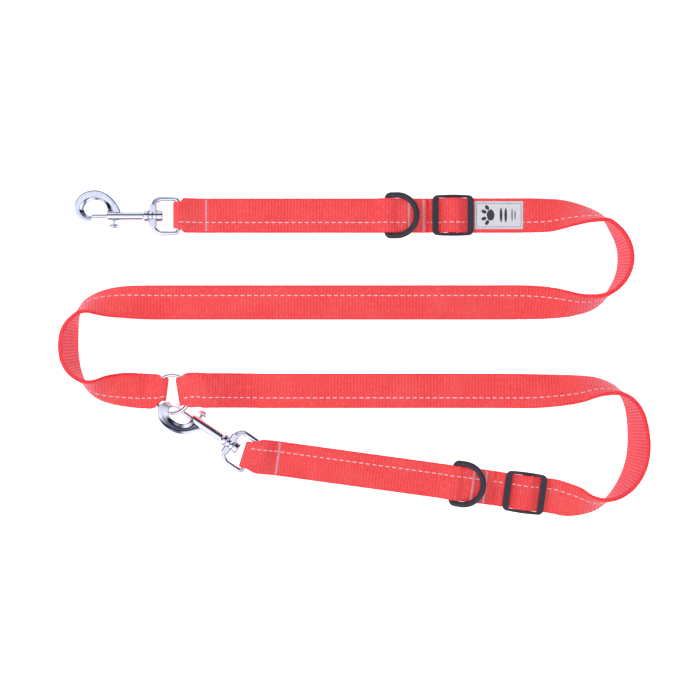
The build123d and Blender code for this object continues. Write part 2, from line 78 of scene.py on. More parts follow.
# ------------------------------------------------------------ the strap bends
# Columns: x, y, twist in degrees (90 stands the webbing on edge).
BEND_RIGHT_TOP = [
    (124.29, 100.43, 0), (132.75, 100.43, 6), (141.92, 100.42, 17), (148.47, 100.9, 28),
    (154.92, 101.09, 40), (161.87, 100.88, 51.5), (169.39, 100.15, 64), (177.36, 98.44, 76),
    (182.81, 96.0, 86), (188.15, 90.06, 95), (192.49, 83.4, 100), (195.27, 75.82, 103),
    (196.04, 67.99, 104), (194.83, 60.23, 102), (191.7, 52.78, 98), (186.82, 46.28, 92),
    (181.4, 41.47, 84), (175.98, 38.41, 75), (169.56, 36.44, 66), (162.52, 35.44, 58),
    (155.64, 35.44, 48), (148.88, 35.94, 39), (141.91, 36.42, 30), (131.25, 36.92, 18),
    (119.07, 37.12, 8), (106.0, 37.1, 0),
]
BEND_LEFT = [
    (-138.26, 37.07, 0), (-150.58, 37.04, -8), (-160.41, 37.19, -17), (-168.76, 37.21, -25.5),
    (-177.8, 36.82, -36), (-186.12, 36.12, -51), (-192.89, 34.47, -66), (-198.13, 31.47, -78),
    (-201.49, 27.08, -88), (-204.02, 22.13, -98), (-205.87, 16.27, -106), (-206.78, 9.64, -110),
    (-206.8, 2.12, -110.5), (-205.6, -5.47, -108), (-202.93, -12.06, -101), (-198.78, -18.1, -90),
    (-193.67, -22.64, -77), (-188.47, -25.05, -64), (-182.63, -25.92, -49),
    (-175.42, -26.17, -35.5), (-165.83, -26.36, -22), (-156.44, -26.97, -11),
]
BEND_RIGHT_LOW = [
    (154.02, -106.32, -16), (161.55, -107.74, -33), (168.84, -108.98, -54),
    (176.07, -108.34, -70), (183.29, -105.71, -85), (189.9, -101.29, -97),
    (196.29, -94.55, -107), (201.47, -85.81, -114), (204.44, -76.79, -117),
    (205.61, -66.39, -117), (205.0, -55.18, -113.5), (203.12, -44.63, -108),
    (200.13, -37.18, -101), (196.22, -31.67, -93), (191.12, -27.77, -84), (185.15, -25.55, -75),
    (177.5, -24.43, -64), (170.52, -24.6, -54), (163.82, -25.53, -44), (156.83, -26.25, -36.5),
    (148.1, -26.84, -29), (140.05, -27.2, -22), (131.33, -27.5, -13), (120.53, -27.49, -5),
    (106.02, -27.39, 0), (40.0, -27.35, 0), (-60.0, -27.4, 0), (-66.0, -27.4, 0),
    (-72.0, -27.28, 0), (-78.0, -27.16, 0), (-84.0, -27.04, 0), (-90.0, -26.92, 0),
    (-96.0, -26.8, 0), (-102.0, -26.75, 0), (-108.0, -26.75, 0),
]

# Each end has its own line from the fold at the snap; dee, slider, tail and tacks are
# distances along it. "hold" keeps the fold open that far, "skew" turns it in degrees.
# The ring_ values place the strap's loop round the ring: its direction, sideways offset,
# half width and taper length, then where and over what length the selvedge opens out
# behind the ring, and how far that part is drawn sideways.
END_1 = SimpleNamespace(
    origin=(-131.47, 100.38), direction=(1.0, 0.0), fold_z=5.0, dee=155.0, slider=203.0,
    tail=249.0, tacks=(23.4, 171.2, 181.8), hold=0.0, skew=0.0, dash=DASH_OFF,
    path=BEND_RIGHT_TOP + BEND_LEFT, ring_direction=(0.992, -0.127), ring_offset=2.6,
    ring_half=8.3, ring_taper=13.0, ring_open_from=8.0, ring_open_length=5.0, ring_drift=2.0)
END_2 = SimpleNamespace(
    origin=(-80.9, -73.23), direction=(0.99067, -0.13628), fold_z=6.6, dee=154.2, slider=206.6,
    tail=229.0, tacks=(25.3, 168.5, 177.6), hold=9.5, skew=-10.0, dash=-DASH_OFF,
    path=BEND_RIGHT_LOW, ring_direction=(-0.986, -0.165), ring_offset=-0.9,
    ring_half=10.1, ring_taper=8.0, ring_open_from=7.6, ring_open_length=4.6, ring_drift=0.0)
ENDS = (END_1, END_2)

# Snap hooks: swivel place, then angles in degrees; side mirrors the hook.
SNAPS = (
    dict(origin=(-149.36, 99.8, 5.0), azimuth=180.0, pitch=0.0, roll=0.0, side=1),
    dict(origin=(-92.93, -63.97, 7.33), azimuth=146.0, pitch=1.95, roll=37.78, side=-1),
)


# ------------------------------------------------------------ small geometry tools
def unit(v):
    return v / v.length


def square_to(v, axis):
    """Unit vector along v with its part along the axis removed."""
    return unit(v - axis * v.dot(axis))


def smooth(t):
    t = min(1.0, max(0.0, t))
    return t * t * (3 - 2 * t)


def neighbours(items, i):
    return items[max(i - 1, 0)], items[min(i + 1, len(items) - 1)]


def ramp(u0, z0, u1, z1, n=6):
    """Points of a soft step from one (u, z) to another."""
    return [(u0 + (u1 - u0) * k / n, z0 + (z1 - z0) * smooth(k / n)) for k in range(n + 1)]


def arc(x, y, r, start, stop, n=8):
    """Points on a circle; angles in degrees."""
    angles = [math.radians(start + (stop - start) * k / n) for k in range(n + 1)]
    return [(x + r * math.cos(a), y + r * math.sin(a)) for a in angles]


def catmull_rom(p0, p1, p2, p3, t):
    """Point between p1 and p2."""
    return [0.5 * (2 * b + (c - a) * t + (2 * a - 5 * b + 4 * c - d) * t * t
                   + (3 * b - a - 3 * c + d) * t ** 3)
            for a, b, c, d in zip(p0, p1, p2, p3)]


def basis(x, y, z):
    """Matrix whose columns are the three axes."""
    return Matrix(((x.x, y.x, z.x), (x.y, y.y, z.y), (x.z, y.z, z.z)))


def placed(origin, axes):
    """Transform in metres from an origin in mm and a basis."""
    return Matrix.Translation((origin + SHIFT) * MM) @ axes.to_4x4()


class Line:
    """Level line: u along it, v to its left, z up."""

    def __init__(self, origin, direction):
        self.o = Vector((origin[0], origin[1], 0))
        self.u = unit(Vector((direction[0], direction[1], 0)))
        self.v = Vector((-self.u.y, self.u.x, 0))

    def at(self, u, v, z):
        return self.o + self.u * u + self.v * v + Vector((0, 0, z))

    def along(self, point):
        return (point - self.o).dot(self.u)


for end in ENDS:
    end.line = Line(end.origin, end.direction)


# ------------------------------------------------------------ strap sections
# A section is (centre, across, normal, half width).
def profile(line, points, half_width, bank=0.0):
    """Sections through (u, z) points of a line; bank is the slope across it."""
    across = unit(line.v * -1.0 - Vector((0, 0, bank)))
    sections = []
    for i, (u, z) in enumerate(points):
        before, after = neighbours(points, i)
        du, dz = after[0] - before[0], after[1] - before[1]
        length = math.hypot(du, dz)
        normal = line.u * (-dz / length) + Vector((0, 0, du / length))
        sections.append((line.at(u, 0, z), across, square_to(normal, across), half_width(u)))
    return sections


def full_width(u):
    return HALF_W


def snap_strap(end):
    """Short strap: under the D-ring bar, round the snap's eye and back over the bar."""
    bar, hold = end.dee, end.hold
    fold_u = FOLD_R + MID
    over_bar = DEE_Z + DEE_WIRE_R + CLEAR + MID
    low = [(bar + LOW_END, MID + LAYER), (bar + SPLICE, MID + LAYER)]
    low += ramp(bar + SPLICE - 0.5, MID + LAYER, bar + 5.0, MID)
    low += ramp(min(20.0 + hold, 23.5), MID, fold_u + hold, end.fold_z - FOLD_R, 8)
    fold = arc(fold_u, end.fold_z, FOLD_R, 270.0, 90.0, 10)
    top = ramp(fold_u + hold, end.fold_z + FOLD_R, min(22.0 + hold, 24.3), MID + LAYER, 9)
    top += ramp(bar - 9.5, MID + LAYER, bar - 1.6, over_bar, 7)
    top += ramp(bar + 1.6, over_bar, bar + 8.4, MID + 2 * LAYER, 7)
    top += [(bar + TOP_END, MID + 2 * LAYER)]
    shared = 0 if hold else 1       # with no hold the runs meet the fold in the same points

    def half_width(u):
        return FOLD_HALF + (HALF_W - FOLD_HALF) * smooth((u - 4.0) / 3.8)

    sections = []
    for centre, across, normal, half in profile(
            end.line, low + fold[shared:] + top[shared:], half_width):
        turn = math.radians(end.skew) * (1 - smooth((end.line.along(centre) - 4.0) / 18.0))
        across = across * math.cos(turn) + end.line.u * math.sin(turn)
        sections.append((centre, across, normal, half))
    return sections


def slider_upper(end):
    """From the splice over the top of the slider's middle bar to the tail."""
    slider, cut = end.slider, end.dee + LOW_END
    top = SLIDER_Z + SLIDER_T + CLEAR + WEB_T + CLEAR + MID
    third = MID + 2 * LAYER
    points = [(end.dee + SPLICE, MID)] + ramp(cut + 0.3, MID, slider - 15.0, third - 0.1, 5)
    points += ramp(slider - 10.4, third, slider - 2.4, top, 9)
    points += ramp(slider + 2.2, top, slider + 10.0, third, 9)
    points += [(end.tail + 1.0, third)]
    return profile(end.line, points, full_width)


def slider_lower(end):
    """Back from the tail, round the slider's middle bar and out below it."""
    slider = end.slider
    bar_z = SLIDER_Z + SLIDER_T / 2
    r = SLIDER_T / 2 + CLEAR + MID
    points = [(end.tail + 1.0, MID + LAYER)]
    points += ramp(slider + 9.8, MID + LAYER, slider + 2.0, bar_z + r, 8)
    points += arc(slider - SLIDER_BAR / 2 - 0.5, bar_z, r, 90.0, 270.0, 10)
    points += ramp(slider + 2.2, bar_z - r, slider + 8.5, MID, 6)
    points += [(end.tail, MID)]
    return profile(end.line, points, full_width)


def spline(knots, step=4.6, long_gap=30):
    """Curve through the knots; gaps longer than long_gap stay straight."""
    out = []
    for i in range(len(knots) - 1):
        p1, p2 = knots[i], knots[i + 1]
        p0, p3 = knots[max(i - 1, 0)], knots[min(i + 2, len(knots) - 1)]
        if math.dist(p0[:2], p1[:2]) > long_gap:
            p0 = tuple(2 * b - c for b, c in zip(p1, p2))
        if math.dist(p2[:2], p3[:2]) > long_gap:
            p3 = tuple(2 * c - b for b, c in zip(p1, p2))
        gap = math.dist(p1[:2], p2[:2])
        n = max(1, round(gap / step)) if gap < long_gap else 1
        if n > 1:
            out += [tuple(catmull_rom(p0, p1, p2, p3, k / n)) for k in range(n)]
        else:
            out.append(p1)
    out.append(knots[-1])
    return out


def bend_sections(path, ring_rise):
    """Twisted sections on (x, y, twist); each carries the pitch of its two layers."""
    out = []
    total = list(accumulate((math.dist(a[:2], b[:2]) for a, b in zip(path, path[1:])),
                            initial=0.0))
    for i, (x, y, twist) in enumerate(path):
        before, after = neighbours(path, i)
        forward = unit(Vector((after[0] - before[0], after[1] - before[1], 0)))
        right = Vector((forward.y, -forward.x, 0))
        sin, cos = math.sin(math.radians(twist)), math.cos(math.radians(twist))
        across = right * cos + Vector((0, 0, sin))
        normal = right * -sin + Vector((0, 0, cos))
        z = HALF_W * abs(sin) + (LAYER + WEB_T) / 2 * abs(cos)
        lift, pitch = ring_rise(total[-1] - total[i])
        lift += LAYER * (1 - smooth(total[i] / 16.0))
        out.append((Vector((x, y, z + lift)), across, normal, pitch, HALF_W))
    return out


def ring_distance(point):
    return (point - Vector((RING_X, RING_Y, point.z))).length


def ring_tunnel(end, line, slope, bank, ring_z, half_gap):
    """The loop round the ring, on a line through it."""
    tilt = math.atan(slope)
    cos, sin = math.cos(tilt), math.sin(tilt)

    def tilted(d, h):
        return (d * cos - h * sin, ring_z + d * sin + h * cos)

    turn_at = -7.6
    straight = (-19.0, -13.0, turn_at)
    points = [tilted(d, half_gap) for d in straight]
    points += [tilted(turn_at + half_gap * math.sin(math.radians(a)),
                      half_gap * math.cos(math.radians(a))) for a in range(20, 161, 20)]
    points += [tilted(d, -half_gap) for d in reversed(straight)]

    def half_width(u):
        return end.ring_half + (HALF_W - end.ring_half) * smooth((-7.5 - u) / end.ring_taper)

    return profile(line, points, half_width, bank)


def open_selvedge(end, sections):
    """Opens the selvedge out behind the ring and draws that run sideways by the drift."""
    line = Line((RING_X, RING_Y), end.ring_direction)
    out = []
    for centre, across, normal, half in sections:
        u = line.along(centre)
        if ring_distance(centre) < 40 and u < 0:
            if half < HALF_W - 0.01 and u > -30:
                opened = smooth((-end.ring_open_from - u) / end.ring_open_length)
                half = end.ring_half + (HALF_W - end.ring_half) * opened
            fade = smooth((-6.0 - u) / 5.0) * smooth((u + 27.0) / 14.0)
            centre = centre - line.v * (end.ring_drift * fade)
        out.append((centre, across, normal, half))
    return out


def main_strap(end):
    """Doubled long strap: over the slider, out to the ring, round it and back below."""
    line = Line((RING_X, RING_Y), end.ring_direction)
    slope = RING_SLOPE_X * line.u.x + RING_SLOPE_Y * line.u.y
    bank = RING_SLOPE_X * line.v.x + RING_SLOPE_Y * line.v.y
    line.o = line.o + line.v * end.ring_offset
    ring_z = RING_Z + bank * end.ring_offset
    half_gap = RING_WIRE_R + 0.28 + MID

    def sway(u):
        """The strap runs back to its own line as it leaves the ring."""
        dv = -end.ring_offset * smooth((-11.0 - u) / 13.0)
        return line.v * dv + Vector((0, 0, bank * dv))

    tunnel = [(centre + sway(line.along(centre)), across, normal, half)
              for centre, across, normal, half
              in ring_tunnel(end, line, slope, bank, ring_z, half_gap)]
    mouth = line.at(-19.6, 0, 0) + sway(-19.6)
    mouth_z = ring_z - 19.4 * slope + mouth.z
    flat_z = (LAYER + WEB_T) / 2

    def ring_rise(left):
        """Lift and layer pitch with this much path left to the ring."""
        k = smooth(1 - left / RING_LEAD)
        open_pitch = 2 * half_gap / math.cos(math.atan(slope))
        return (mouth_z - flat_z) * k, LAYER + (open_pitch - LAYER) * k

    bends = bend_sections(spline(end.path + [(mouth.x, mouth.y, 0.0)]), ring_rise)[:-1]
    upper = [(c + n * (pitch / 2), w, n, half) for c, w, n, pitch, half in bends]
    lower = [(c - n * (pitch / 2), w, n * -1.0, half) for c, w, n, pitch, half in reversed(bends)]
    sections = slider_upper(end) + upper + tunnel + lower + slider_lower(end)
    return open_selvedge(end, sections)


def resample(sections, step):
    """Even cubic sections about step mm apart, as (s, centre, across, normal, half)."""
    clean = [sections[0]]
    for section in sections[1:]:
        if (section[0] - clean[-1][0]).length > 0.05:
            clean.append(section)
    rows = [tuple(c) + tuple(w) + tuple(n) + (half,) for c, w, n, half in clean]
    gaps = [max((b[0] - a[0]).length, 1e-6) for a, b in zip(clean, clean[1:])]
    chords = [[(b - a) / gap for a, b in zip(rows[i], rows[i + 1])]
              for i, gap in enumerate(gaps)]
    slopes = [chords[0]]
    for i in range(1, len(gaps)):
        before, after = gaps[i - 1], gaps[i]
        if max(before, after) > 15.0:       # long runs stay straight
            slopes.append(chords[i - 1] if before > after else chords[i])
        else:
            slopes.append([(q * before + p * after) / (before + after)
                           for p, q in zip(chords[i - 1], chords[i])])
    slopes.append(chords[-1])
    reach = list(accumulate(gaps, initial=0.0))
    count = max(2, int(round(reach[-1] / step)))
    out, i = [], 0
    for k in range(count + 1):
        s = reach[-1] * k / count
        while i < len(gaps) - 1 and s > reach[i + 1]:
            i += 1
        t = min(1.0, max(0.0, (s - reach[i]) / gaps[i]))
        h00, h10 = 2 * t ** 3 - 3 * t ** 2 + 1, t ** 3 - 2 * t ** 2 + t
        h01, h11 = -2 * t ** 3 + 3 * t ** 2, t ** 3 - t ** 2
        row = [h00 * a + h10 * gaps[i] * ta + h01 * b + h11 * gaps[i] * tb
               for a, ta, b, tb in zip(rows[i], slopes[i], rows[i + 1], slopes[i + 1])]
        across = unit(Vector(row[3:6]))
        out.append((s, Vector(row[0:3]), across, square_to(Vector(row[6:9]), across), row[9]))
    return out


# ------------------------------------------------------------ mesh tools
def link(obj):
    bpy.context.scene.collection.objects.link(obj)
    return obj


def new_mesh(name, verts, faces):
    """Mesh from points in mm."""
    mesh = bpy.data.meshes.new(name)
    mesh.from_pydata([tuple(v * MM) for v in verts], [], faces)
    mesh.update()
    return mesh


def recalc_normals(mesh):
    bm = bmesh.new()
    bm.from_mesh(mesh)
    bmesh.ops.recalc_face_normals(bm, faces=bm.faces)
    bm.to_mesh(mesh)
    bm.free()


def smooth_shade(mesh):
    mesh.polygons.foreach_set("use_smooth", [True] * len(mesh.polygons))


def soft_object(name, verts, faces, material, uv=None, recalc=False):
    """Smooth-shaded webbing, thread or label part."""
    mesh = new_mesh(name, [v + SHIFT for v in verts], faces)
    if uv is not None:
        layer = mesh.uv_layers.new(name="UVMap")
        for loop in mesh.loops:
            layer.data[loop.index].uv = uv[loop.vertex_index]
    smooth_shade(mesh)
    obj = link(bpy.data.objects.new(name, mesh))
    mesh.materials.append(material)
    if recalc:
        recalc_normals(mesh)
    return obj


def solid_object(name, verts, faces):
    """Bare part in its own axes."""
    mesh = new_mesh(name, verts, faces)
    recalc_normals(mesh)
    return link(bpy.data.objects.new(name, mesh))


def finish_metal(obj, material, sharp=38.0):
    """Smooth shading with edges above the sharp angle kept crisp."""
    obj.data.materials.clear()
    obj.data.materials.append(material)
    smooth_shade(obj.data)
    obj.data.set_sharp_from_angle(angle=math.radians(sharp))
    return obj


def metal_object(name, verts, faces, material, matrix, sharp=38.0):
    obj = finish_metal(solid_object(name, verts, faces), material, sharp)
    obj.data.transform(matrix)
    return obj


def piece(obj, body, replaces=None):
    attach(obj, body)
    if replaces:
        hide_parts(replaces)


def loft(rows, width, closed=False, flip=False):
    """Faces of a closed section repeated in rows; open lofts are capped."""
    faces = []
    for i in range(rows if closed else rows - 1):
        this, after = i * width, (i + 1) % rows * width
        for k in range(width):
            k2 = (k + 1) % width
            if flip:
                faces.append((this + k, after + k, after + k2, this + k2))
            else:
                faces.append((this + k, this + k2, after + k2, after + k))
    if not closed:
        first, last = range(width), range((rows - 1) * width, rows * width)
        faces.append(tuple(first if flip else first[::-1]))
        faces.append(tuple(last[::-1] if flip else last))
    return faces


def merge(parts):
    """Joins (verts, faces) parts into one."""
    verts, faces = [], []
    for part_verts, part_faces in parts:
        base = len(verts)
        verts += part_verts
        faces += [tuple(base + i for i in face) for face in part_faces]
    return verts, faces


def tube(points, r, segments):
    """Round thread or bar through the points, without twist."""
    verts, x = [], None
    for i, point in enumerate(points):
        before, after = neighbours(points, i)
        forward = unit(after - before)
        if x is None:
            x = Vector((0, 0, 1)) if abs(forward.z) < 0.9 else Vector((1, 0, 0))
        x = square_to(x, forward)
        y = forward.cross(x)
        for k in range(segments):
            a = 2 * math.pi * k / segments
            verts.append(point + (x * math.cos(a) + y * math.sin(a)) * r)
    return verts, loft(len(points), segments)


def lathe(outline, segments=96):
    """Part turned about local X through (x, r) points."""
    angles = [2 * math.pi * k / segments for k in range(segments)]
    verts = [Vector((x, r * math.cos(a), r * math.sin(a))) for x, r in outline for a in angles]
    return verts, loft(len(outline), segments)


# ------------------------------------------------------------ shader tools
def srgb(*rgb):
    """Linear colour from 0-255 sRGB."""
    def linear(v):
        v = v / 255
        return v / 12.92 if v <= 0.04045 else ((v + 0.055) / 1.055) ** 2.4
    return tuple(linear(v) for v in rgb) + (1.0,)


class Nodes:
    """Short calls for building a material's or world's nodes."""

    def __init__(self, owner, shader_type):
        self.owner = owner
        owner.use_nodes = True
        self.tree = owner.node_tree
        self.shader = next(n for n in self.tree.nodes if n.type == shader_type)

    def put(self, socket, value):
        if isinstance(value, bpy.types.NodeSocket):
            self.tree.links.new(value, socket)
        else:
            socket.default_value = value

    def fill(self, node, inputs):
        for key, value in inputs.items():
            self.put(node.inputs[key.replace("_", " ")], value)

    def node(self, kind, **inputs):
        node = self.tree.nodes.new(kind)
        self.fill(node, inputs)
        return node

    def calc(self, operation, a, b=0.0, c=0.0, clamp=False):
        node = self.tree.nodes.new("ShaderNodeMath")
        node.operation = operation
        node.use_clamp = clamp
        for socket, value in zip(node.inputs, (a, b, c)):
            self.put(socket, value)
        return node.outputs[0]

    def scale(self, value, by):
        return self.calc("MULTIPLY", value, by)

    def invert(self, value):
        return self.calc("SUBTRACT", 1.0, value)

    def lift(self, value, offset, gain):
        return self.calc("ADD", offset, self.scale(value, gain))

    def above(self, value, level, gain):
        """0 up to the level, then rising by the gain to 1."""
        return self.calc("MULTIPLY", self.calc("SUBTRACT", value, level), gain, clamp=True)

    def below(self, value, level, gain):
        return self.calc("MULTIPLY", self.calc("SUBTRACT", level, value), gain, clamp=True)

    def ramp(self, factor, stops):
        node = self.tree.nodes.new("ShaderNodeValToRGB")
        elements = node.color_ramp.elements
        while len(elements) > 1:
            elements.remove(elements[-1])
        for i, (position, colour) in enumerate(stops):
            element = elements.new(position) if i else elements[0]
            element.position = position
            element.color = tuple(colour[:3]) + (1.0,)
        self.put(node.inputs[0], factor)
        return node.outputs[0]

    def mix(self, factor, a, b, blend="MIX"):
        node = self.tree.nodes.new("ShaderNodeMix")
        node.data_type = "RGBA"
        node.blend_type = blend
        for index, value in ((0, factor), (6, a), (7, b)):
            self.put(node.inputs[index], value)
        return node.outputs[2]

    def split(self, vector):
        return self.node("ShaderNodeSeparateXYZ", Vector=vector).outputs

    def coords(self):
        source = self.node("ShaderNodeTexCoord").outputs["Object"]
        return self.node("ShaderNodeMapping", Vector=source).outputs[0]

    def noise(self, vector, scale, detail=3.0, rough=0.55):
        return self.node("ShaderNodeTexNoise", Vector=vector, Scale=scale, Detail=detail,
                         Roughness=rough).outputs[0]

    def bump(self, height, strength, distance):
        return self.node("ShaderNodeBump", Height=height, Strength=strength,
                         Distance=distance).outputs[0]

    def finish(self, **inputs):
        self.fill(self.shader, inputs)
        return self.owner


def principled(name):
    return Nodes(bpy.data.materials.new(name), "BSDF_PRINCIPLED")


# ------------------------------------------------------------ materials
def webbing_material():
    # the darker red paints shade in the rib valleys and thread gaps, and also makes random dark
    # flecks
    crest_red, shade_and_fleck_red = srgb(224, 88, 87), srgb(208, 46, 54)
    pale_red, edge_red = srgb(232, 116, 114), srgb(230, 52, 62)
    thread_pitch = 2.05         # mm across the strap
    edge_from = 10.9            # mm off the centre line
    m = principled("webbing_nylon")
    # the UV map holds mm / 100: along in x, across in y, offset by +-0.5 on the two faces
    along, across, _ = m.split(m.node("ShaderNodeUVMap").outputs[0])
    s = m.scale(along, by=100.0)
    face = m.calc("SIGN", across)
    t = m.scale(m.calc("SUBTRACT", across, m.scale(face, by=0.5)), by=100.0)
    off_centre = m.calc("ABSOLUTE", t)
    # ribs across the strap, each a row of small staggered thread bumps
    row = m.calc("FLOOR", m.calc("DIVIDE", s, RIB))
    in_rib = m.calc("FRACT", m.calc("DIVIDE", s, RIB))
    off_crest = m.calc("ABSOLUTE", m.calc("SUBTRACT", m.scale(in_rib, by=2.0), 1.0))
    valley = m.calc("POWER", off_crest, 2.0, clamp=True)
    stagger = m.scale(m.calc("MODULO", row, 2.0), by=0.5)
    cell = m.calc("ADD", m.calc("DIVIDE", t, thread_pitch), stagger)
    cell = m.calc("ABSOLUTE", m.calc("SINE", m.scale(cell, by=math.pi)))
    cell = m.calc("POWER", cell, 0.8)
    coords = m.coords()
    grain = m.noise(coords, scale=1100.0)
    speck = m.noise(coords, scale=430.0, detail=2.0, rough=0.6)
    cloud = m.noise(coords, scale=38.0)
    edge = m.above(off_centre, level=edge_from, gain=0.9)
    # noise patches vary how deep the painted valley shade is
    patch = m.noise(coords, scale=24.0, detail=2.0)
    patch_depth = m.calc("ADD", 0.55, m.above(patch, level=0.40, gain=2.0))
    painted_valley_shade = m.calc("MULTIPLY", valley, patch_depth, clamp=True)
    # colour: painted shade in the rib valleys and thread gaps, specks and clouds pale, selvedge
    # pure
    base = m.ramp(painted_valley_shade, [(0.0, crest_red), (1.0, shade_and_fleck_red)])
    base = m.mix(m.scale(m.invert(cell), by=0.55), base, shade_and_fleck_red)
    base = m.mix(m.below(speck, level=0.46, gain=1.8), base, shade_and_fleck_red)
    base = m.mix(m.above(speck, level=0.54, gain=2.4), base, pale_red)
    base = m.mix(m.above(grain, level=0.38, gain=0.9), base, shade_and_fleck_red)
    base = m.mix(m.above(cloud, level=0.45, gain=0.7), base, pale_red)
    base = m.mix(m.scale(edge, by=0.75), base, edge_red)
    # where the webbing stands on edge its colour is multiplied cooler and deeper red as painted
    # shade, with pale crests as painted highlight
    normal = m.split(m.node("ShaderNodeNewGeometry").outputs["Normal"])
    edge_on_shading = m.below(m.calc("ABSOLUTE", normal[2]), level=0.78, gain=1.9)
    base = m.mix(edge_on_shading, base, (0.82, 0.50, 0.74, 1.0), "MULTIPLY")
    # painted highlight: pale rib crests where the webbing stands on edge, away from the selvedge
    crest_highlight = m.calc("MULTIPLY", m.calc("POWER", m.invert(off_crest), 2.0), m.invert(edge))
    base = m.mix(m.scale(m.calc("MULTIPLY", crest_highlight, edge_on_shading), by=0.46), base,
                 srgb(234, 128, 144))
    # painted light: the webbing glows a little red so its shaded parts stay saturated, less where
    # it stands on edge
    glow = m.calc("SUBTRACT", 0.17, m.scale(edge_on_shading, by=0.06))
    height = m.calc("MULTIPLY", m.invert(valley), m.lift(cell, offset=0.45, gain=0.55))
    height = m.calc("ADD", height, m.scale(grain, by=0.35))
    return m.finish(
        Base_Color=base, Roughness=m.lift(grain, offset=0.50, gain=0.16),
        Normal=m.bump(height, strength=0.6, distance=0.00022),
        Sheen_Weight=0.22, Sheen_Roughness=0.4, Sheen_Tint=srgb(255, 180, 195),
        Specular_IOR_Level=0.3, Emission_Color=srgb(255, 34, 48), Emission_Strength=glow,
        Subsurface_Weight=0.05, Subsurface_Radius=(0.0012, 0.0004, 0.0004),
        Subsurface_Scale=1.0)


def thread_material(name, colour, rough):
    m = principled(name)
    grain = m.noise(m.coords(), scale=1500.0, detail=4.0)
    darker = [max(0, v - 60) for v in colour]
    return m.finish(Base_Color=m.mix(m.scale(grain, by=0.5), srgb(*colour), srgb(*darker)),
                    Roughness=rough, Normal=m.bump(grain, strength=0.5, distance=0.0001),
                    Sheen_Weight=0.3)


def chrome_material():
    m = principled("chrome_plate")
    coords = m.coords()
    grain = m.noise(coords, scale=260.0, detail=5.0)
    fine = m.noise(coords, scale=2400.0, detail=2.0)
    colour = m.mix(m.above(grain, level=0.4, gain=0.7), srgb(236, 238, 244),
                   srgb(208, 211, 224))
    height = m.calc("ADD", grain, m.scale(fine, by=0.25))
    return m.finish(Base_Color=colour, Metallic=1.0,
                    Roughness=m.lift(grain, offset=0.06, gain=0.10),
                    Normal=m.bump(height, strength=0.10, distance=0.0004))


def steel_material():
    m = principled("spring_wire")
    grain = m.noise(m.coords(), scale=900.0)
    return m.finish(Base_Color=m.mix(grain, srgb(190, 190, 196), srgb(130, 132, 140)),
                    Metallic=1.0, Roughness=m.lift(grain, offset=0.22, gain=0.1))


def dark_material():
    m = principled("dark_casting")
    coords = m.coords()
    grain = m.noise(coords, scale=340.0, detail=5.0)
    fine = m.noise(coords, scale=1900.0)
    return m.finish(Base_Color=m.mix(grain, srgb(40, 41, 50), srgb(62, 63, 74)),
                    Metallic=0.35, Roughness=m.lift(grain, offset=0.34, gain=0.16),
                    Specular_IOR_Level=0.5,
                    Normal=m.bump(fine, strength=0.12, distance=0.0002))


def label_material():
    pitch_x, pitch_y = 0.00046, 0.00042     # weave, in metres
    m = principled("label_weave")
    coords = m.coords()
    x, y, _ = m.split(coords)
    weave = m.calc("MULTIPLY", m.calc("SINE", m.scale(x, by=2 * math.pi / pitch_x)),
                   m.calc("SINE", m.scale(y, by=2 * math.pi / pitch_y)))
    weave = m.calc("ADD", m.scale(weave, by=0.5), 0.5)
    grain = m.noise(coords, scale=500.0, detail=4.0)
    shade = m.calc("ADD", m.scale(weave, by=0.45), m.scale(grain, by=0.3))
    height = m.calc("ADD", weave, m.scale(grain, by=0.5))
    return m.finish(Base_Color=m.mix(shade, srgb(226, 224, 230), srgb(196, 197, 206)),
                    Roughness=0.5, Sheen_Weight=0.4, Specular_IOR_Level=0.4,
                    Normal=m.bump(height, strength=0.4, distance=0.00008))


def floor_material():
    glow, glow_in_metal = 0.9, 0.42     # seen directly, and as polished metal sees it
    m = principled("floor_white")
    grain = m.noise(m.coords(), scale=60.0, detail=2.0)
    colour = m.mix(m.scale(grain, by=0.05), srgb(250, 250, 251), srgb(244, 244, 246))
    glossy = m.node("ShaderNodeLightPath").outputs["Is Glossy Ray"]
    strength = m.calc("SUBTRACT", glow, m.scale(glossy, by=glow - glow_in_metal))
    return m.finish(Base_Color=colour, Roughness=0.9, Specular_IOR_Level=0.05,
                    Emission_Color=(1, 1, 1, 1), Emission_Strength=strength)


WEBBING = webbing_material()
DASH = thread_material("dash_thread", (238, 226, 236), rough=0.42)
DASH_UNDER = thread_material("under_stitch", (150, 128, 150), rough=0.6)
TACK = thread_material("tack_thread", (240, 224, 238), rough=0.45)
CHROME = chrome_material()
STEEL = steel_material()
DARK = dark_material()
LABEL = label_material()
LABEL_EDGE = thread_material("label_thread", (142, 146, 164), rough=0.5)
LABEL_INK = thread_material("label_motif", (58, 60, 70), rough=0.6)


def cad_material(name):
    if name.startswith(("d_ring", "slider")):
        return DARK
    if name.startswith("gate_spring"):
        return STEEL
    if name == "label":
        return LABEL
    if name.startswith("bar_tacks"):
        return TACK
    return WEBBING if "strap" in name else CHROME


for name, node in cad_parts.items():
    if not node.material_slots:
        node.data.materials.append(cad_material(name))
    for slot in node.material_slots:
        slot.link = "OBJECT"
        slot.material = cad_material(name)


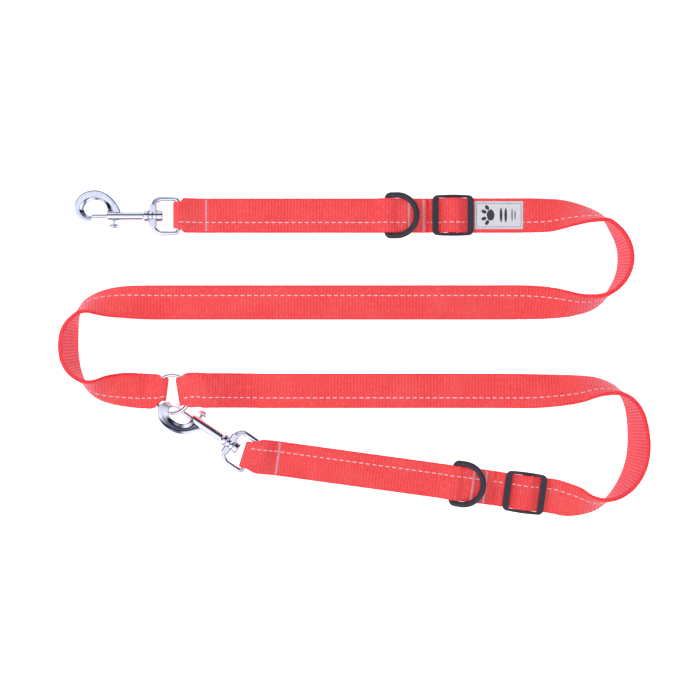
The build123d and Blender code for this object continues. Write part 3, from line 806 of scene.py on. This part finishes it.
# ------------------------------------------------------------ webbing
# Upper half of the cross-section: fraction of half width, fraction of half thickness.
WEB_TOP = [
    (-1.0, 0.0), (-0.994, 0.52), (-0.972, 0.84), (-0.93, 0.97), (-0.86, 1.0), (-0.62, 1.0),
    (-0.31, 1.0), (0.0, 1.0), (0.31, 1.0), (0.62, 1.0), (0.86, 1.0), (0.93, 0.97),
    (0.972, 0.84), (0.994, 0.52), (1.0, 0.0),
]
WEB_OUTLINE = WEB_TOP + [(a, -b) for a, b in WEB_TOP[-2:0:-1]]
RIB_RELIEF = 0.15       # rib height on each face
SELVEDGE_RELIEF = 0.24  # rib depth at the selvedge
UV_SCALE = MM * 10.0


def rib_height(s):
    """Rounded ribs with narrow valleys."""
    return 1.0 - (2 * abs((s / RIB) % 1.0 - 0.5)) ** 2.6


def on_edge(normal):
    """The webbing plumps up a little where it stands on edge in the bends."""
    return 0.36 * smooth((0.72 - abs(normal.z)) / 0.45)


def web_mesh(name, sections, step=0.42):
    """Webbing with raised ribs on both faces and a bumpy rounded selvedge."""
    dense = resample(sections, step)
    verts, uv = [], []
    for s, centre, across, normal, half in dense:
        rib = rib_height(s)
        edge = half + SELVEDGE_RELIEF * (rib - 0.62)
        edge += 0.03 * math.sin(s * 0.73) + 0.02 * math.sin(s * 1.91 + 1.3)    # slight wobble
        half_t = VISIBLE_T / 2 - RIB_RELIEF + RIB_RELIEF * rib + on_edge(normal)
        for a, b in WEB_OUTLINE:
            verts.append(centre + across * (a * edge) + normal * (b * half_t))
            uv.append((s * UV_SCALE, (a * half) * UV_SCALE + (0.5 if b >= 0 else -0.5)))
    faces = loft(len(dense), len(WEB_OUTLINE), flip=True)
    return soft_object(name, verts, faces, WEBBING, uv, recalc=True), dense


def dash_mesh(name, dense, offset, material, start=0.0, stop=math.inf,
              length=DASH_L, width=DASH_W):
    """Flat stitches bedded in the +normal face, between two distances along the strap."""
    rows, points = 6, 5
    total = dense[-1][0]
    step = total / (len(dense) - 1)

    def at(s):
        x = min(max(s / step, 0), len(dense) - 1.001)
        i = int(x)
        _, c0, w0, n0, _ = dense[i]
        _, c1, w1, n1, _ = dense[i + 1]
        t = x - i
        return c0.lerp(c1, t), unit(w0.lerp(w1, t)), unit(n0.lerp(n1, t))

    def dash(s):
        verts = []
        for i in range(rows + 1):
            t = i / rows
            centre, across, normal = at(s + length * t)
            full = math.sqrt(max(0.0, 1 - (2 * t - 1) ** 6))
            half = width / 2 * (0.55 + 0.45 * full)
            rise = 0.20 * (0.25 + 0.75 * full)
            bed = VISIBLE_T / 2 - 0.10 + on_edge(normal)
            for j in range(points):
                a = math.pi * j / (points - 1)
                verts.append(centre + across * (offset + half * math.cos(a))
                             + normal * (bed + rise * math.sin(a)))
        return verts, loft(rows + 1, points)

    dashes = []
    s = 1.2
    while s + length < total - 0.8:
        if s >= start and s + length <= stop:
            dashes.append(dash(s))
        s += DASH_PITCH
    obj = soft_object(name, *merge(dashes), material, recalc=True)
    piece(obj, "webbing")


dense_straps = {}
for kind, sections_of in (("snap_strap", snap_strap), ("main_strap", main_strap)):
    for k, end in enumerate(ENDS, 1):
        key = "%s_%d" % (kind, k)
        obj, dense_straps[key] = web_mesh("webbing_" + key, sections_of(end))
        piece(obj, "webbing", replaces=key)

# one line of dashes off centre; on the snap straps only on the upper run after the fold
for k, end in enumerate(ENDS, 1):
    key = "snap_strap_%d" % k
    dense = dense_straps[key]
    top_from = max(s for s, centre, *_ in dense if end.line.along(centre) < 6.0)
    dash_mesh("stitch_" + key, dense, end.dash, DASH, start=top_from - 4.0)

# the same line up to the ring, and fine stitches on the run below after it
for k, end in enumerate(ENDS, 1):
    key = "main_strap_%d" % k
    dense = dense_straps[key]
    turn = min(s for s, centre, _, normal, _ in dense
               if abs(normal.z) < 0.35 and ring_distance(centre) < 16.0)
    dash_mesh("stitch_" + key, dense, end.dash, DASH, stop=turn - 1.0)
    dash_mesh("under_" + key, dense, end.dash, DASH_UNDER, start=turn + 12.0,
              length=1.5, width=0.5)


# ------------------------------------------------------------ bar-tacks
TACK_STACKS = ((2, 1.8), (3, 1.8), (2, 2.2))    # layers sewn through, width along the strap
TACK_PITCH, TACK_THREAD_R = 0.62, 0.2


def zigzag(line, u, z, width):
    """One dense row of zigzag thread across the strap."""
    half = HALF_W - 1.1
    n = int(2 * half / TACK_PITCH)
    points = []
    for i in range(n + 1):
        side = 1 if i % 2 else -1
        waver = 0.06 * math.sin(i * 2.4)
        point = line.at(u + side * width / 2 + waver, -half + 2 * half * i / n, z + 0.05)
        if points:
            points.append((points[-1] + point) / 2 + Vector((0, 0, 0.14)))
        points.append(point)
    return tube(points, TACK_THREAD_R, segments=6)


for k, end in enumerate(ENDS, 1):
    rows = [zigzag(end.line, u, WEB_T + (layers - 1) * LAYER + 0.24, width)
            for u, (layers, width) in zip(end.tacks, TACK_STACKS)]
    obj = soft_object("tack_stitch_%d" % k, *merge(rows), TACK)
    piece(obj, "webbing", replaces="bar_tacks_%d" % k)


# ------------------------------------------------------------ sewn label on end 1
LABEL_U, LABEL_V, LABEL_Z = 236.4, 0.15, WEB_T + 2 * LAYER + 0.12
LABEL_L, LABEL_W, LABEL_T, LABEL_R = 35.5, 20.3, 0.6, 1.2


def on_label(x, y, z):
    """Point from the label's centre, z above its underside."""
    return END_1.line.at(LABEL_U + x, LABEL_V + y, LABEL_Z + z)


def label_height(x, y):
    """Rounded rim, a groove under the border stitches and slight puffs."""
    inset = min(LABEL_L / 2 - abs(x), LABEL_W / 2 - abs(y))
    base = LABEL_T * (0.35 + 0.65 * math.sqrt(max(0.0, min(1.0, inset / 0.45))))
    groove = 0.13 * math.exp(-((inset - 1.55) / 0.28) ** 2)
    puff = 0.05 * math.sin(x * 0.9 + 0.4) * math.sin(y * 1.1) * min(1.0, inset / 3)
    return base - groove + puff


def label_patch(nx=72, ny=42):
    verts, faces = [], []
    straight_x, straight_y = LABEL_L / 2 - LABEL_R, LABEL_W / 2 - LABEL_R
    for j in range(ny + 1):
        for i in range(nx + 1):
            x = -LABEL_L / 2 + LABEL_L * i / nx
            y = -LABEL_W / 2 + LABEL_W * j / ny
            dx, dy = max(0.0, abs(x) - straight_x), max(0.0, abs(y) - straight_y)
            reach = math.hypot(dx, dy)
            if reach > LABEL_R:     # draws the corners in to the radius
                x = math.copysign(straight_x + dx * LABEL_R / reach, x)
                y = math.copysign(straight_y + dy * LABEL_R / reach, y)
            verts.append(on_label(x, y, label_height(x, y)))
    under = len(verts)
    verts += [Vector((p.x, p.y, LABEL_Z)) for p in verts]
    row = nx + 1
    for j in range(ny):
        for i in range(nx):
            a = j * row + i
            b = under + a
            faces.append((a, a + 1, a + row + 1, a + row))
            faces.append((b, b + row, b + row + 1, b + 1))
    rim = [i for i in range(nx)] + [nx + j * row for j in range(ny)]
    rim += [ny * row + nx - i for i in range(nx)] + [(ny - j) * row for j in range(ny)]
    for i, a in enumerate(rim):
        b = rim[(i + 1) % len(rim)]
        faces.append((a, under + a, under + b, b))
    obj = soft_object("label_patch", verts, faces, LABEL)
    piece(obj, "webbing", replaces="label")


def label_border(inset=1.6, pitch=1.5):
    """Running stitch round the label."""
    x, y = LABEL_L / 2 - inset, LABEL_W / 2 - inset
    corners = [Vector(p) for p in ((-x, -y), (x, -y), (x, y), (-x, y))]
    stitches = []
    for a, b in zip(corners, corners[1:] + corners[:1]):
        n = int((b - a).length / pitch)
        for i in range(n):
            start, stop = a.lerp(b, (i + 0.14) / n), a.lerp(b, (i + 0.86) / n)
            points = []
            for t in (0, 0.25, 0.5, 0.75, 1):
                p = start.lerp(stop, t)
                points.append(on_label(p.x, p.y, 0.50 + 0.14 * math.sin(math.pi * t)))
            stitches.append(tube(points, 0.22, segments=6))
    piece(soft_object("label_border", *merge(stitches), LABEL_EDGE), "webbing")


def label_puck(cx, cy, rx, ry, turn, bottom=0.52, height=0.16, segments=28):
    """Low raised oval."""
    verts = []
    for level, k in ((0.0, 1.0), (height * 0.7, 0.97), (height, 0.82)):
        for i in range(segments):
            a = 2 * math.pi * i / segments
            x, y = rx * k * math.cos(a), ry * k * math.sin(a)
            verts.append(on_label(cx + x * math.cos(turn) - y * math.sin(turn),
                                  cy + x * math.sin(turn) + y * math.cos(turn),
                                  bottom + level))
    return verts, loft(3, segments)


def label_motif():
    """A plain paw and four narrow ovals beside it."""
    ovals = [(-6.0, 0.0, 2.9, 4.2, 0.0)]
    for angle, reach in ((58, 6.6), (20, 7.6), (-20, 7.6), (-58, 6.6)):     # toes
        a = math.radians(angle)
        ovals.append((-6.4 - reach * math.cos(a) * 0.62, reach * math.sin(a) * 0.98,
                      2.0, 1.35, -a))
    for x, half_x, half_y in ((1.6, 1.0, 5.4), (5.0, 1.0, 5.4), (9.6, 0.42, 5.0),
                              (11.8, 0.42, 3.6)):
        ovals.append((x, 0.0, half_x, half_y, 0.0))
    verts, faces = merge(label_puck(*oval) for oval in ovals)
    piece(soft_object("label_motif", verts, faces, LABEL_INK), "webbing")


label_patch()
label_border()
label_motif()


# ------------------------------------------------------------ sliders
def bowed_rectangle(half_x, half_y, bow_x, bow_y, r):
    """Rounded rectangle with slightly bowed sides."""
    corners = []
    for sx, sy, start in ((1, 1, 0), (-1, 1, 90), (-1, -1, 180), (1, -1, 270)):
        corners += arc(sx * (half_x - r), sy * (half_y - r), r, start, start + 90)
    dense = []
    for (x0, y0), (x1, y1) in zip(corners, corners[1:] + corners[:1]):
        n = max(1, int(math.hypot(x1 - x0, y1 - y0) / 1.2))
        dense += [(x0 + (x1 - x0) * k / n, y0 + (y1 - y0) * k / n) for k in range(n)]
    out = []
    for x, y in dense:
        fx, fy = min(1.0, abs(x) / half_x), min(1.0, abs(y) / half_y)
        out.append((x + math.copysign(bow_x * (1 - fy ** 2) * fx ** 2, x),
                    y + math.copysign(bow_y * (1 - fx ** 2) * fy ** 2, y)))
    return out


def windowed_plate(name, outlines, thickness, bevel):
    """Bevelled plate mesh; outlines inside the first one are holes."""
    curve = bpy.data.curves.new(name, "CURVE")
    curve.dimensions = "2D"
    curve.fill_mode = "BOTH"
    curve.extrude = (thickness / 2 - bevel) * MM
    curve.bevel_depth = bevel * MM
    curve.bevel_resolution = 4
    curve.offset = -bevel * MM
    for outline in outlines:
        strand = curve.splines.new("POLY")
        strand.points.add(len(outline) - 1)
        for point, (x, y) in zip(strand.points, outline):
            point.co = (x * MM, y * MM, 0, 1)
        strand.use_cyclic_u = True
    obj = link(bpy.data.objects.new(name, curve))
    depsgraph = bpy.context.evaluated_depsgraph_get()
    mesh = bpy.data.meshes.new_from_object(obj.evaluated_get(depsgraph))
    bpy.data.objects.remove(obj)
    return mesh


def slider(k, end):
    name = "tri_glide_%d" % k
    window = (SLIDER_L - 2 * SLIDER_SIDE - SLIDER_BAR) / 2
    outlines = [bowed_rectangle(SLIDER_L / 2 - 0.15, SLIDER_W / 2 - 0.55,
                                bow_x=0.2, bow_y=0.7, r=3.2)]
    for side in (-1, 1):
        shift = side * (SLIDER_BAR / 2 + window / 2)
        hole = bowed_rectangle(window / 2, SLIDER_W / 2 - SLIDER_RAIL - 0.10,
                               bow_x=0.0, bow_y=0.0, r=1.1)
        outlines.append([(x + shift, y) for x, y in hole])
    mesh = windowed_plate(name, outlines, SLIDER_T - SLIDER_TRIM, bevel=0.62)
    line = end.line
    centre = line.at(end.slider, 0, SLIDER_Z + SLIDER_T / 2 + SLIDER_TRIM / 2)
    mesh.transform(placed(centre, basis(line.u, line.v, Vector((0, 0, 1)))))
    obj = finish_metal(link(bpy.data.objects.new(name, mesh)), DARK, sharp=50.0)
    piece(obj, "slider_body_%d" % k, replaces="slider_%d" % k)


for k, end in enumerate(ENDS, 1):
    slider(k, end)


# ------------------------------------------------------------ D-rings
def dee_path():
    """Straight bar at x = 0, two short legs and a half circle towards +x."""
    half, flat, r = DEE_HALF, DEE_FLAT, DEE_CORNER_R
    path = [(0.0, -half + r + (2 * (half - r)) * i / 8) for i in range(9)]
    path += arc(r, half - r, r, 180, 90)[1:]
    path += [(r + (flat - r) * i / 4, half) for i in range(1, 5)]
    path += arc(flat, 0.0, half, 90, -90, 56)[1:]
    path += [(flat - (flat - r) * i / 4, -half) for i in range(1, 5)]
    path += arc(r, -half + r, r, 270, 180)[1:-1]
    return path


def rounded_square(c):
    """Pushes a sine or cosine out a little, for a squarer wire."""
    return math.copysign(abs(c) ** 0.86, c)


def dee(k, end, segments=28):
    path = dee_path()
    wire = DEE_WIRE_R - 0.03
    verts = []
    for i, (x, y) in enumerate(path):
        (xa, ya), (xb, yb) = path[i - 1], path[(i + 1) % len(path)]
        length = math.hypot(xb - xa, yb - ya)
        nx, ny = (yb - ya) / length, -(xb - xa) / length
        # the cast bow is wider than the bar, mostly on its inner side, and a little uneven
        wide = smooth((x - 0.4) / 3.0) * 0.30 + 0.02 * math.sin(i * 1.7) * smooth(x / 3.0)
        for q in range(segments):
            a = 2 * math.pi * q / segments
            sideways = rounded_square(math.cos(a))
            outward = (nx * (x - DEE_FLAT) + ny * y) * sideways > 0
            off = sideways * (wire + wide * (0.65 if outward else 1.45))
            z = rounded_square(math.sin(a)) * wire * 0.985
            verts.append(Vector((x + nx * off, y + ny * off, z)))
    tilt = math.radians(DEE_TILT)
    line = end.line
    x_axis = line.u * math.cos(tilt) + Vector((0, 0, math.sin(tilt)))
    z_axis = line.u * -math.sin(tilt) + Vector((0, 0, math.cos(tilt)))
    matrix = placed(line.at(end.dee, 0, DEE_Z), basis(x_axis, z_axis.cross(x_axis), z_axis))
    faces = loft(len(path), segments, closed=True)
    obj = metal_object("dee_%d" % k, verts, faces, DARK, matrix, sharp=60.0)
    piece(obj, "d_ring_body_%d" % k, replaces="d_ring_%d" % k)


for k, end in enumerate(ENDS, 1):
    dee(k, end)


# ------------------------------------------------------------ snap hooks
# Stations along the hook, from the barrel round to the tip. Columns: outer edge x, y;
# inner edge x, y; half depth; where the flat face ends (-1 outer edge, 1 inner edge);
# share of the banded back; share of the pocket in the face.
HOOK = [
    (19.5, -1.0, 30.4, -1.0, 2.9, 0.10, 0.6, 0.8),
    (20.6, -4.6, 30.5, -3.6, 2.9, 0.05, 0.9, 1.0),
    (22.6, -8.2, 30.9, -6.2, 2.9, -0.02, 1.0, 1.0),
    (26.0, -12.7, 31.8, -8.2, 2.8, 0.06, 1.0, 1.0),
    (30.5, -16.4, 33.6, -9.8, 2.7, 0.20, 1.0, 1.0),
    (35.0, -18.5, 36.3, -10.9, 2.6, 0.32, 1.0, 0.9),
    (39.5, -19.1, 39.5, -11.2, 2.5, 0.3, 1.0, 0.6),
    (44.4, -18.4, 42.6, -10.8, 2.4, 0.3, 0.9, 0.3),
    (49.5, -15.8, 45.3, -9.1, 2.2, 0.28, 0.6, 0.1),
    (53.1, -11.6, 46.8, -6.6, 2.0, 0.2, 0.2, 0.0),
    (54.7, -6.5, 47.2, -4.6, 1.9, 0.12, 0.0, 0.0),
    (53.6, -2.1, 46.6, -2.8, 1.9, 0.12, 0.0, 0.0),
    (51.1, 1.4, 45.4, -1.5, 1.9, 0.15, 0.0, 0.0),
    (47.8, 3.5, 44.0, -0.8, 1.9, 0.1, 0.0, 0.0),
    (44.3, 4.2, 42.8, -0.7, 1.9, 0.1, 0.0, 0.0),
    (41.6, 4.2, 41.6, -0.7, 1.9, 0.1, 0.0, 0.0),
]
# Section parts as (place across from -1 outer to 1 inner, fraction of half depth).
FACE_EDGE = [(-1.0, 0.0), (-0.985, 0.45), (-0.95, 0.75), (-0.89, 0.92), (-0.78, 1.0),
             (-0.52, 1.0)]
BANDED_BACK = [
    (0.985, -0.55), (0.95, -0.85), (0.88, -1.0), (0.68, -0.86), (0.48, -0.70), (0.28, -0.55),
    (0.12, -0.45), (-0.05, -0.42), (-0.25, -0.415), (-0.45, -0.40), (-0.62, -0.32),
    (-0.8, -0.18), (-0.93, -0.08)]
WEDGE_BACK = [
    (0.985, -0.55), (0.95, -0.85), (0.88, -1.0), (0.68, -0.90), (0.48, -0.79), (0.28, -0.68),
    (0.12, -0.59), (-0.05, -0.50), (-0.25, -0.39), (-0.45, -0.28), (-0.62, -0.19),
    (-0.8, -0.10), (-0.93, -0.05)]
# Pocket floor: fraction of the way from the flat face to the inner edge, height.
POCKET_FLOOR = [(0.02, 0.86), (0.10, 0.36), (0.32, 0.47), (0.58, 0.60), (0.84, 0.74),
                (0.96, 0.55)]
BARREL = [(0.06, 3.4), (0.06, 4.3), (0.25, 4.7), (0.6, 4.9), (3.0, 4.9), (3.4, 4.72),
          (3.62, 4.3), (3.9, 3.75), (4.4, 3.52)]                # collar at the swivel, (x, r)
BARREL += [(4.4 + (30.2 - 4.4) * t, 3.5) for t in (0.25, 0.5, 0.75, 1.0)]
BARREL += [(30.6, 3.36), (30.8, 3.0)]
BOLT_BORE = [(7.5, 1.9), (41.0, 1.9)]
SWIVEL_BORE = [(-1.0, 2.03), (6.2, 2.03)]
SLOT_HALF_L, SLOT_HALF_W, SLOT_DEPTH = 5.15, 1.65, 6.0     # slot centred at SPRING_TO


def blend_points(a, b, k):
    return [(ax * (1 - k) + bx * k, ay * (1 - k) + by * k) for (ax, ay), (bx, by) in zip(a, b)]


def hook_section(flat_end, banded, pocket):
    """Flat face with a crisp outer edge, slope or pocket to the inner edge, then the back."""
    rest = 1.0 - flat_end
    top = FACE_EDGE + [(-0.52 + (flat_end + 0.52) * t, 1.0 - 0.02 * t)
                       for t in (0.33, 0.66, 1.0)]
    slope = [(flat_end + rest * t, 0.97 - 0.86 * (t + 0.10 * math.sin(math.pi * t)))
             for t in (0.05, 0.2, 0.4, 0.6, 0.8, 0.94)]
    sunk = [(flat_end + rest * t, height) for t, height in POCKET_FLOOR]
    return (top + blend_points(slope, sunk, pocket) + [(1.0, 0.0)]
            + blend_points(WEDGE_BACK, BANDED_BACK, banded))


def hook_crescent(name, steps=5):
    stations = []
    for i in range(len(HOOK) - 1):
        around = (HOOK[max(i - 1, 0)], HOOK[i], HOOK[i + 1], HOOK[min(i + 2, len(HOOK) - 1)])
        stations += [catmull_rom(*around, k / steps) for k in range(steps)]
    stations.append(HOOK[-1])
    verts = []
    for ox, oy, ix, iy, depth, flat_end, banded, pocket in stations:
        section = hook_section(flat_end, max(0.0, min(1.0, banded)),
                               max(0.0, min(1.0, pocket)))
        centre = Vector(((ox + ix) / 2, (oy + iy) / 2, 0))
        inward = Vector(((ix - ox) / 2, (iy - oy) / 2, 0))
        verts += [centre + inward * x + Vector((0, 0, depth * y)) for x, y in section]
    return solid_object(name, verts, loft(len(stations), len(section), flip=True))


def apply_modifiers(obj):
    depsgraph = bpy.context.evaluated_depsgraph_get()
    depsgraph.update()
    mesh = bpy.data.meshes.new_from_object(obj.evaluated_get(depsgraph))
    obj.modifiers.clear()
    obj.data = mesh


def thumb_slot(name):
    x0, x1 = SPRING_TO - SLOT_HALF_L, SPRING_TO + SLOT_HALF_L
    w = SLOT_HALF_W
    verts = [Vector((x, y, z)) for y in (0.0, SLOT_DEPTH)
             for x, z in ((x0, -w), (x1, -w), (x1, w), (x0, w))]
    faces = [(0, 1, 2, 3), (7, 6, 5, 4), (0, 4, 5, 1), (1, 5, 6, 2), (2, 6, 7, 3), (3, 7, 4, 0)]
    return solid_object(name, verts, faces)


def hook_body(name):
    """Crescent and barrel fused on a fine grid and relaxed, then bored and slotted."""
    blanks = (hook_crescent(name + "_c"), solid_object(name + "_b", *lathe(BARREL)))
    bm = bmesh.new()
    for blank in blanks:
        bm.from_mesh(blank.data)
    mesh = bpy.data.meshes.new(name)
    bm.to_mesh(mesh)
    bm.free()
    body = link(bpy.data.objects.new(name, mesh))
    for blank in blanks:
        bpy.data.objects.remove(blank)
    remesh = body.modifiers.new("r", "REMESH")
    remesh.mode = "VOXEL"
    remesh.voxel_size = 0.26 * MM
    relax = body.modifiers.new("s", "SMOOTH")
    relax.factor = 0.5
    relax.iterations = 7
    apply_modifiers(body)
    cutters = (solid_object("cut_a", *lathe(BOLT_BORE)),
               solid_object("cut_b", *lathe(SWIVEL_BORE)), thumb_slot("cut_c"))
    for cutter in cutters:
        cut = body.modifiers.new("b", "BOOLEAN")
        cut.operation = "DIFFERENCE"
        cut.solver = "EXACT"
        cut.object = cutter
    apply_modifiers(body)
    for cutter in cutters:
        bpy.data.objects.remove(cutter)
    return finish_metal(body, CHROME)


def snap_frame(origin, azimuth, pitch, roll, side):
    """Origin, rolled axes for the hook and level axes for its eye; x runs to the tip."""
    azimuth, pitch, roll = map(math.radians, (azimuth, pitch, roll))
    forward = Vector((math.cos(azimuth) * math.cos(pitch),
                      math.sin(azimuth) * math.cos(pitch), math.sin(pitch)))
    level = Vector((-math.sin(azimuth), math.cos(azimuth), 0)) * side
    up = forward.cross(level)
    up = up if up.z > 0 else up * -1.0
    rolled = level * math.cos(roll) - up * math.sin(roll)

    def axes(sideways):
        x = unit(forward)
        z = unit(x.cross(sideways))
        return basis(x, z.cross(x), z)

    return Vector(origin), axes(rolled), axes(level)


def gate_coil(k, matrix, coil_r=1.3, wire_r=0.25, turns=9, steps=24):
    """Return spring, seated at the swivel end of the bore."""
    points = []
    for j in range(turns * steps + 1):
        a = 2 * math.pi * j / steps
        points.append(Vector((SPRING_FROM + (SPRING_TO - SPRING_FROM) * j / (turns * steps),
                              coil_r * math.cos(a), coil_r * math.sin(a))))
    coil = metal_object("gate_coil_%d" % k, *tube(points, wire_r, segments=8), STEEL, matrix)
    piece(coil, "snap_body_%d" % k, replaces="gate_spring_%d" % k)
    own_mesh(coil)


# Closed (x, r) outline of the boss round the swivel.
EYE_BOSS = [(-6.12, 2.7), (-6.12, 3.75), (-5.9, 4.0), (-5.5, 4.12), (-3.5, 4.12), (-3.2, 3.9),
            (-2.9, 4.12), (-0.7, 4.12), (-0.3, 4.0), (-0.1, 3.75), (-0.1, 2.7)]


def eye_boss(k, matrix, segments=64):
    """Grooved round boss through the swivel block."""
    angles = [2 * math.pi * j / segments for j in range(segments)]
    verts = [Vector((x, r * math.cos(a), r * math.sin(a))) for a in angles for x, r in EYE_BOSS]
    faces = loft(segments, len(EYE_BOSS), closed=True)
    piece(metal_object("eye_boss_%d" % k, verts, faces, CHROME, matrix),
          "snap_eye_%d" % k)


def eye_bead(k, tag, side, matrix):
    """Raised bead round the eye's corner and down the outside of one arm."""
    out, r = EYE_HALF + 0.75, 6.4
    arm_from, arm_to = -8.8, EYE_END + 2.6
    path = [(-2.3, out - 7.0), (-2.35, out - 6.6)]
    path += arc(arm_from, out - r, r, 0, 90, 14)
    path += [(arm_from + (arm_to - arm_from) * t, out - 0.18 * t)
             for t in (0.25, 0.5, 0.75, 1.0)]
    points = [Vector((x, side * y, 0)) for x, y in path]
    bead = metal_object("eye_bead_%d%s" % (k, tag), *tube(points, EYE_WIRE_R * 0.86, 16),
                        CHROME, matrix, sharp=60.0)
    piece(bead, "snap_eye_%d" % k)


body = hook_body("cast_hook_1")
spare_mesh = body.data.copy()
for k, snap in enumerate(SNAPS, 1):
    origin, rolled, _ = snap_frame(**snap)
    matrix = placed(origin, rolled)
    if k == 2:
        body = link(bpy.data.objects.new("cast_hook_2", spare_mesh))
    body.data.transform(matrix)
    piece(body, "snap_body_%d" % k, replaces="hook_body_%d" % k)
    gate_coil(k, matrix)

for k, snap in enumerate(SNAPS, 1):
    origin, _, level = snap_frame(**snap)
    matrix = placed(origin, level)
    eye_boss(k, matrix)
    for side, tag in ((1, "a"), (-1, "b")):
        eye_bead(k, tag, side, matrix)


# ------------------------------------------------------------ floor, world, lights, camera
bpy.ops.mesh.primitive_plane_add(size=6.0, location=(0, 0, -0.0004))
floor = bpy.context.object
floor.name = "floor"
floor.data.materials.append(floor_material())

scene = bpy.context.scene

# World brightness for all but glossy rays, by direction z.
WORLD_POWER = 0.70
SOFT_STOPS = ((0.0, 0.55), (0.35, 0.8), (1.0, 1.0))
# What polished metal sees: the sky by direction z, times dark flags by y and by x
# (for the flags 0 is the negative side, 1 the positive side).
SKY_STOPS = [
    (0.0, (0.30, 0.31, 0.36)), (0.10, (0.42, 0.43, 0.50)), (0.30, (0.90, 0.91, 1.0)),
    (0.60, (1.12, 1.12, 1.2)), (0.80, (0.98, 1.0, 1.12)), (0.94, (0.84, 0.87, 1.0)),
    (1.0, (0.86, 0.89, 1.03))]
FLAG_Y_STOPS = [
    (0.0, (0.03, 0.03, 0.04)), (0.035, (0.05, 0.05, 0.07)), (0.07, (0.45, 0.46, 0.52)),
    (0.14, (1.05, 1.05, 1.05)), (0.26, (1.35, 1.35, 1.35)), (0.40, (1.05, 1.05, 1.05)),
    (0.555, (0.95, 0.95, 0.97)), (0.60, (0.45, 0.45, 0.50)), (0.64, (0.02, 0.02, 0.03)),
    (0.79, (0.02, 0.02, 0.03)), (0.84, (0.55, 0.55, 0.62)), (0.90, (0.95, 0.95, 1.0)),
    (1.0, (0.8, 0.8, 0.85))]
FLAG_X_STOPS = [
    (0.0, (0.35, 0.35, 0.4)), (0.05, (0.9, 0.9, 0.95)), (0.25, (1.15, 1.15, 1.15)),
    (0.60, (1.0, 1.0, 1.0)), (0.68, (0.22, 0.22, 0.26)), (0.78, (0.12, 0.12, 0.16)),
    (0.83, (0.9, 0.9, 0.9)), (1.0, (1.1, 1.1, 1.1))]


def studio_world():
    w = Nodes(bpy.data.worlds.new("studio"), "BACKGROUND")
    x, y, z = w.split(w.node("ShaderNodeTexCoord").outputs["Generated"])
    soft = w.ramp(z, [(place, (v * WORLD_POWER, v * WORLD_POWER, v * WORLD_POWER * 1.02))
                      for place, v in SOFT_STOPS])
    sky = w.ramp(z, SKY_STOPS)
    flag_y = w.ramp(w.calc("MULTIPLY_ADD", y, 0.5, 0.5), FLAG_Y_STOPS)
    flag_x = w.ramp(w.calc("MULTIPLY_ADD", x, 0.5, 0.5), FLAG_X_STOPS)
    flags = w.mix(1.0, flag_y, flag_x, "MULTIPLY")
    shine = w.mix(1.0, sky, flags, "MULTIPLY")
    glossy = w.node("ShaderNodeLightPath").outputs["Is Glossy Ray"]
    return w.finish(Color=w.mix(glossy, soft, shine), Strength=1.0)


def area_light(name, location, size, power):
    """Square light aimed at the origin and hidden from reflections."""
    light = bpy.data.lights.new(name, "AREA")
    light.shape = "RECTANGLE"
    light.size = light.size_y = size
    light.energy = power
    obj = link(bpy.data.objects.new(name, light))
    obj.location = location
    obj.rotation_euler = (-Vector(location)).to_track_quat("-Z", "Y").to_euler()
    obj.visible_glossy = False


scene.world = studio_world()
area_light("key", (-0.85, 0.45, 0.85), size=0.6, power=6.2)
area_light("fill", (0.5, -0.5, 1.1), size=0.9, power=4.4)
area_light("rim", (-0.9, -0.6, 0.6), size=0.5, power=1.0)

lens = bpy.data.cameras.new("cam")
lens.angle = math.radians(24.04)
lens.clip_start, lens.clip_end = 0.01, 20
camera = link(bpy.data.objects.new("cam", lens))
camera.location = (-0.00336, 0.00234, 1.2)
scene.camera = camera
scene.view_settings.view_transform = "Standard"
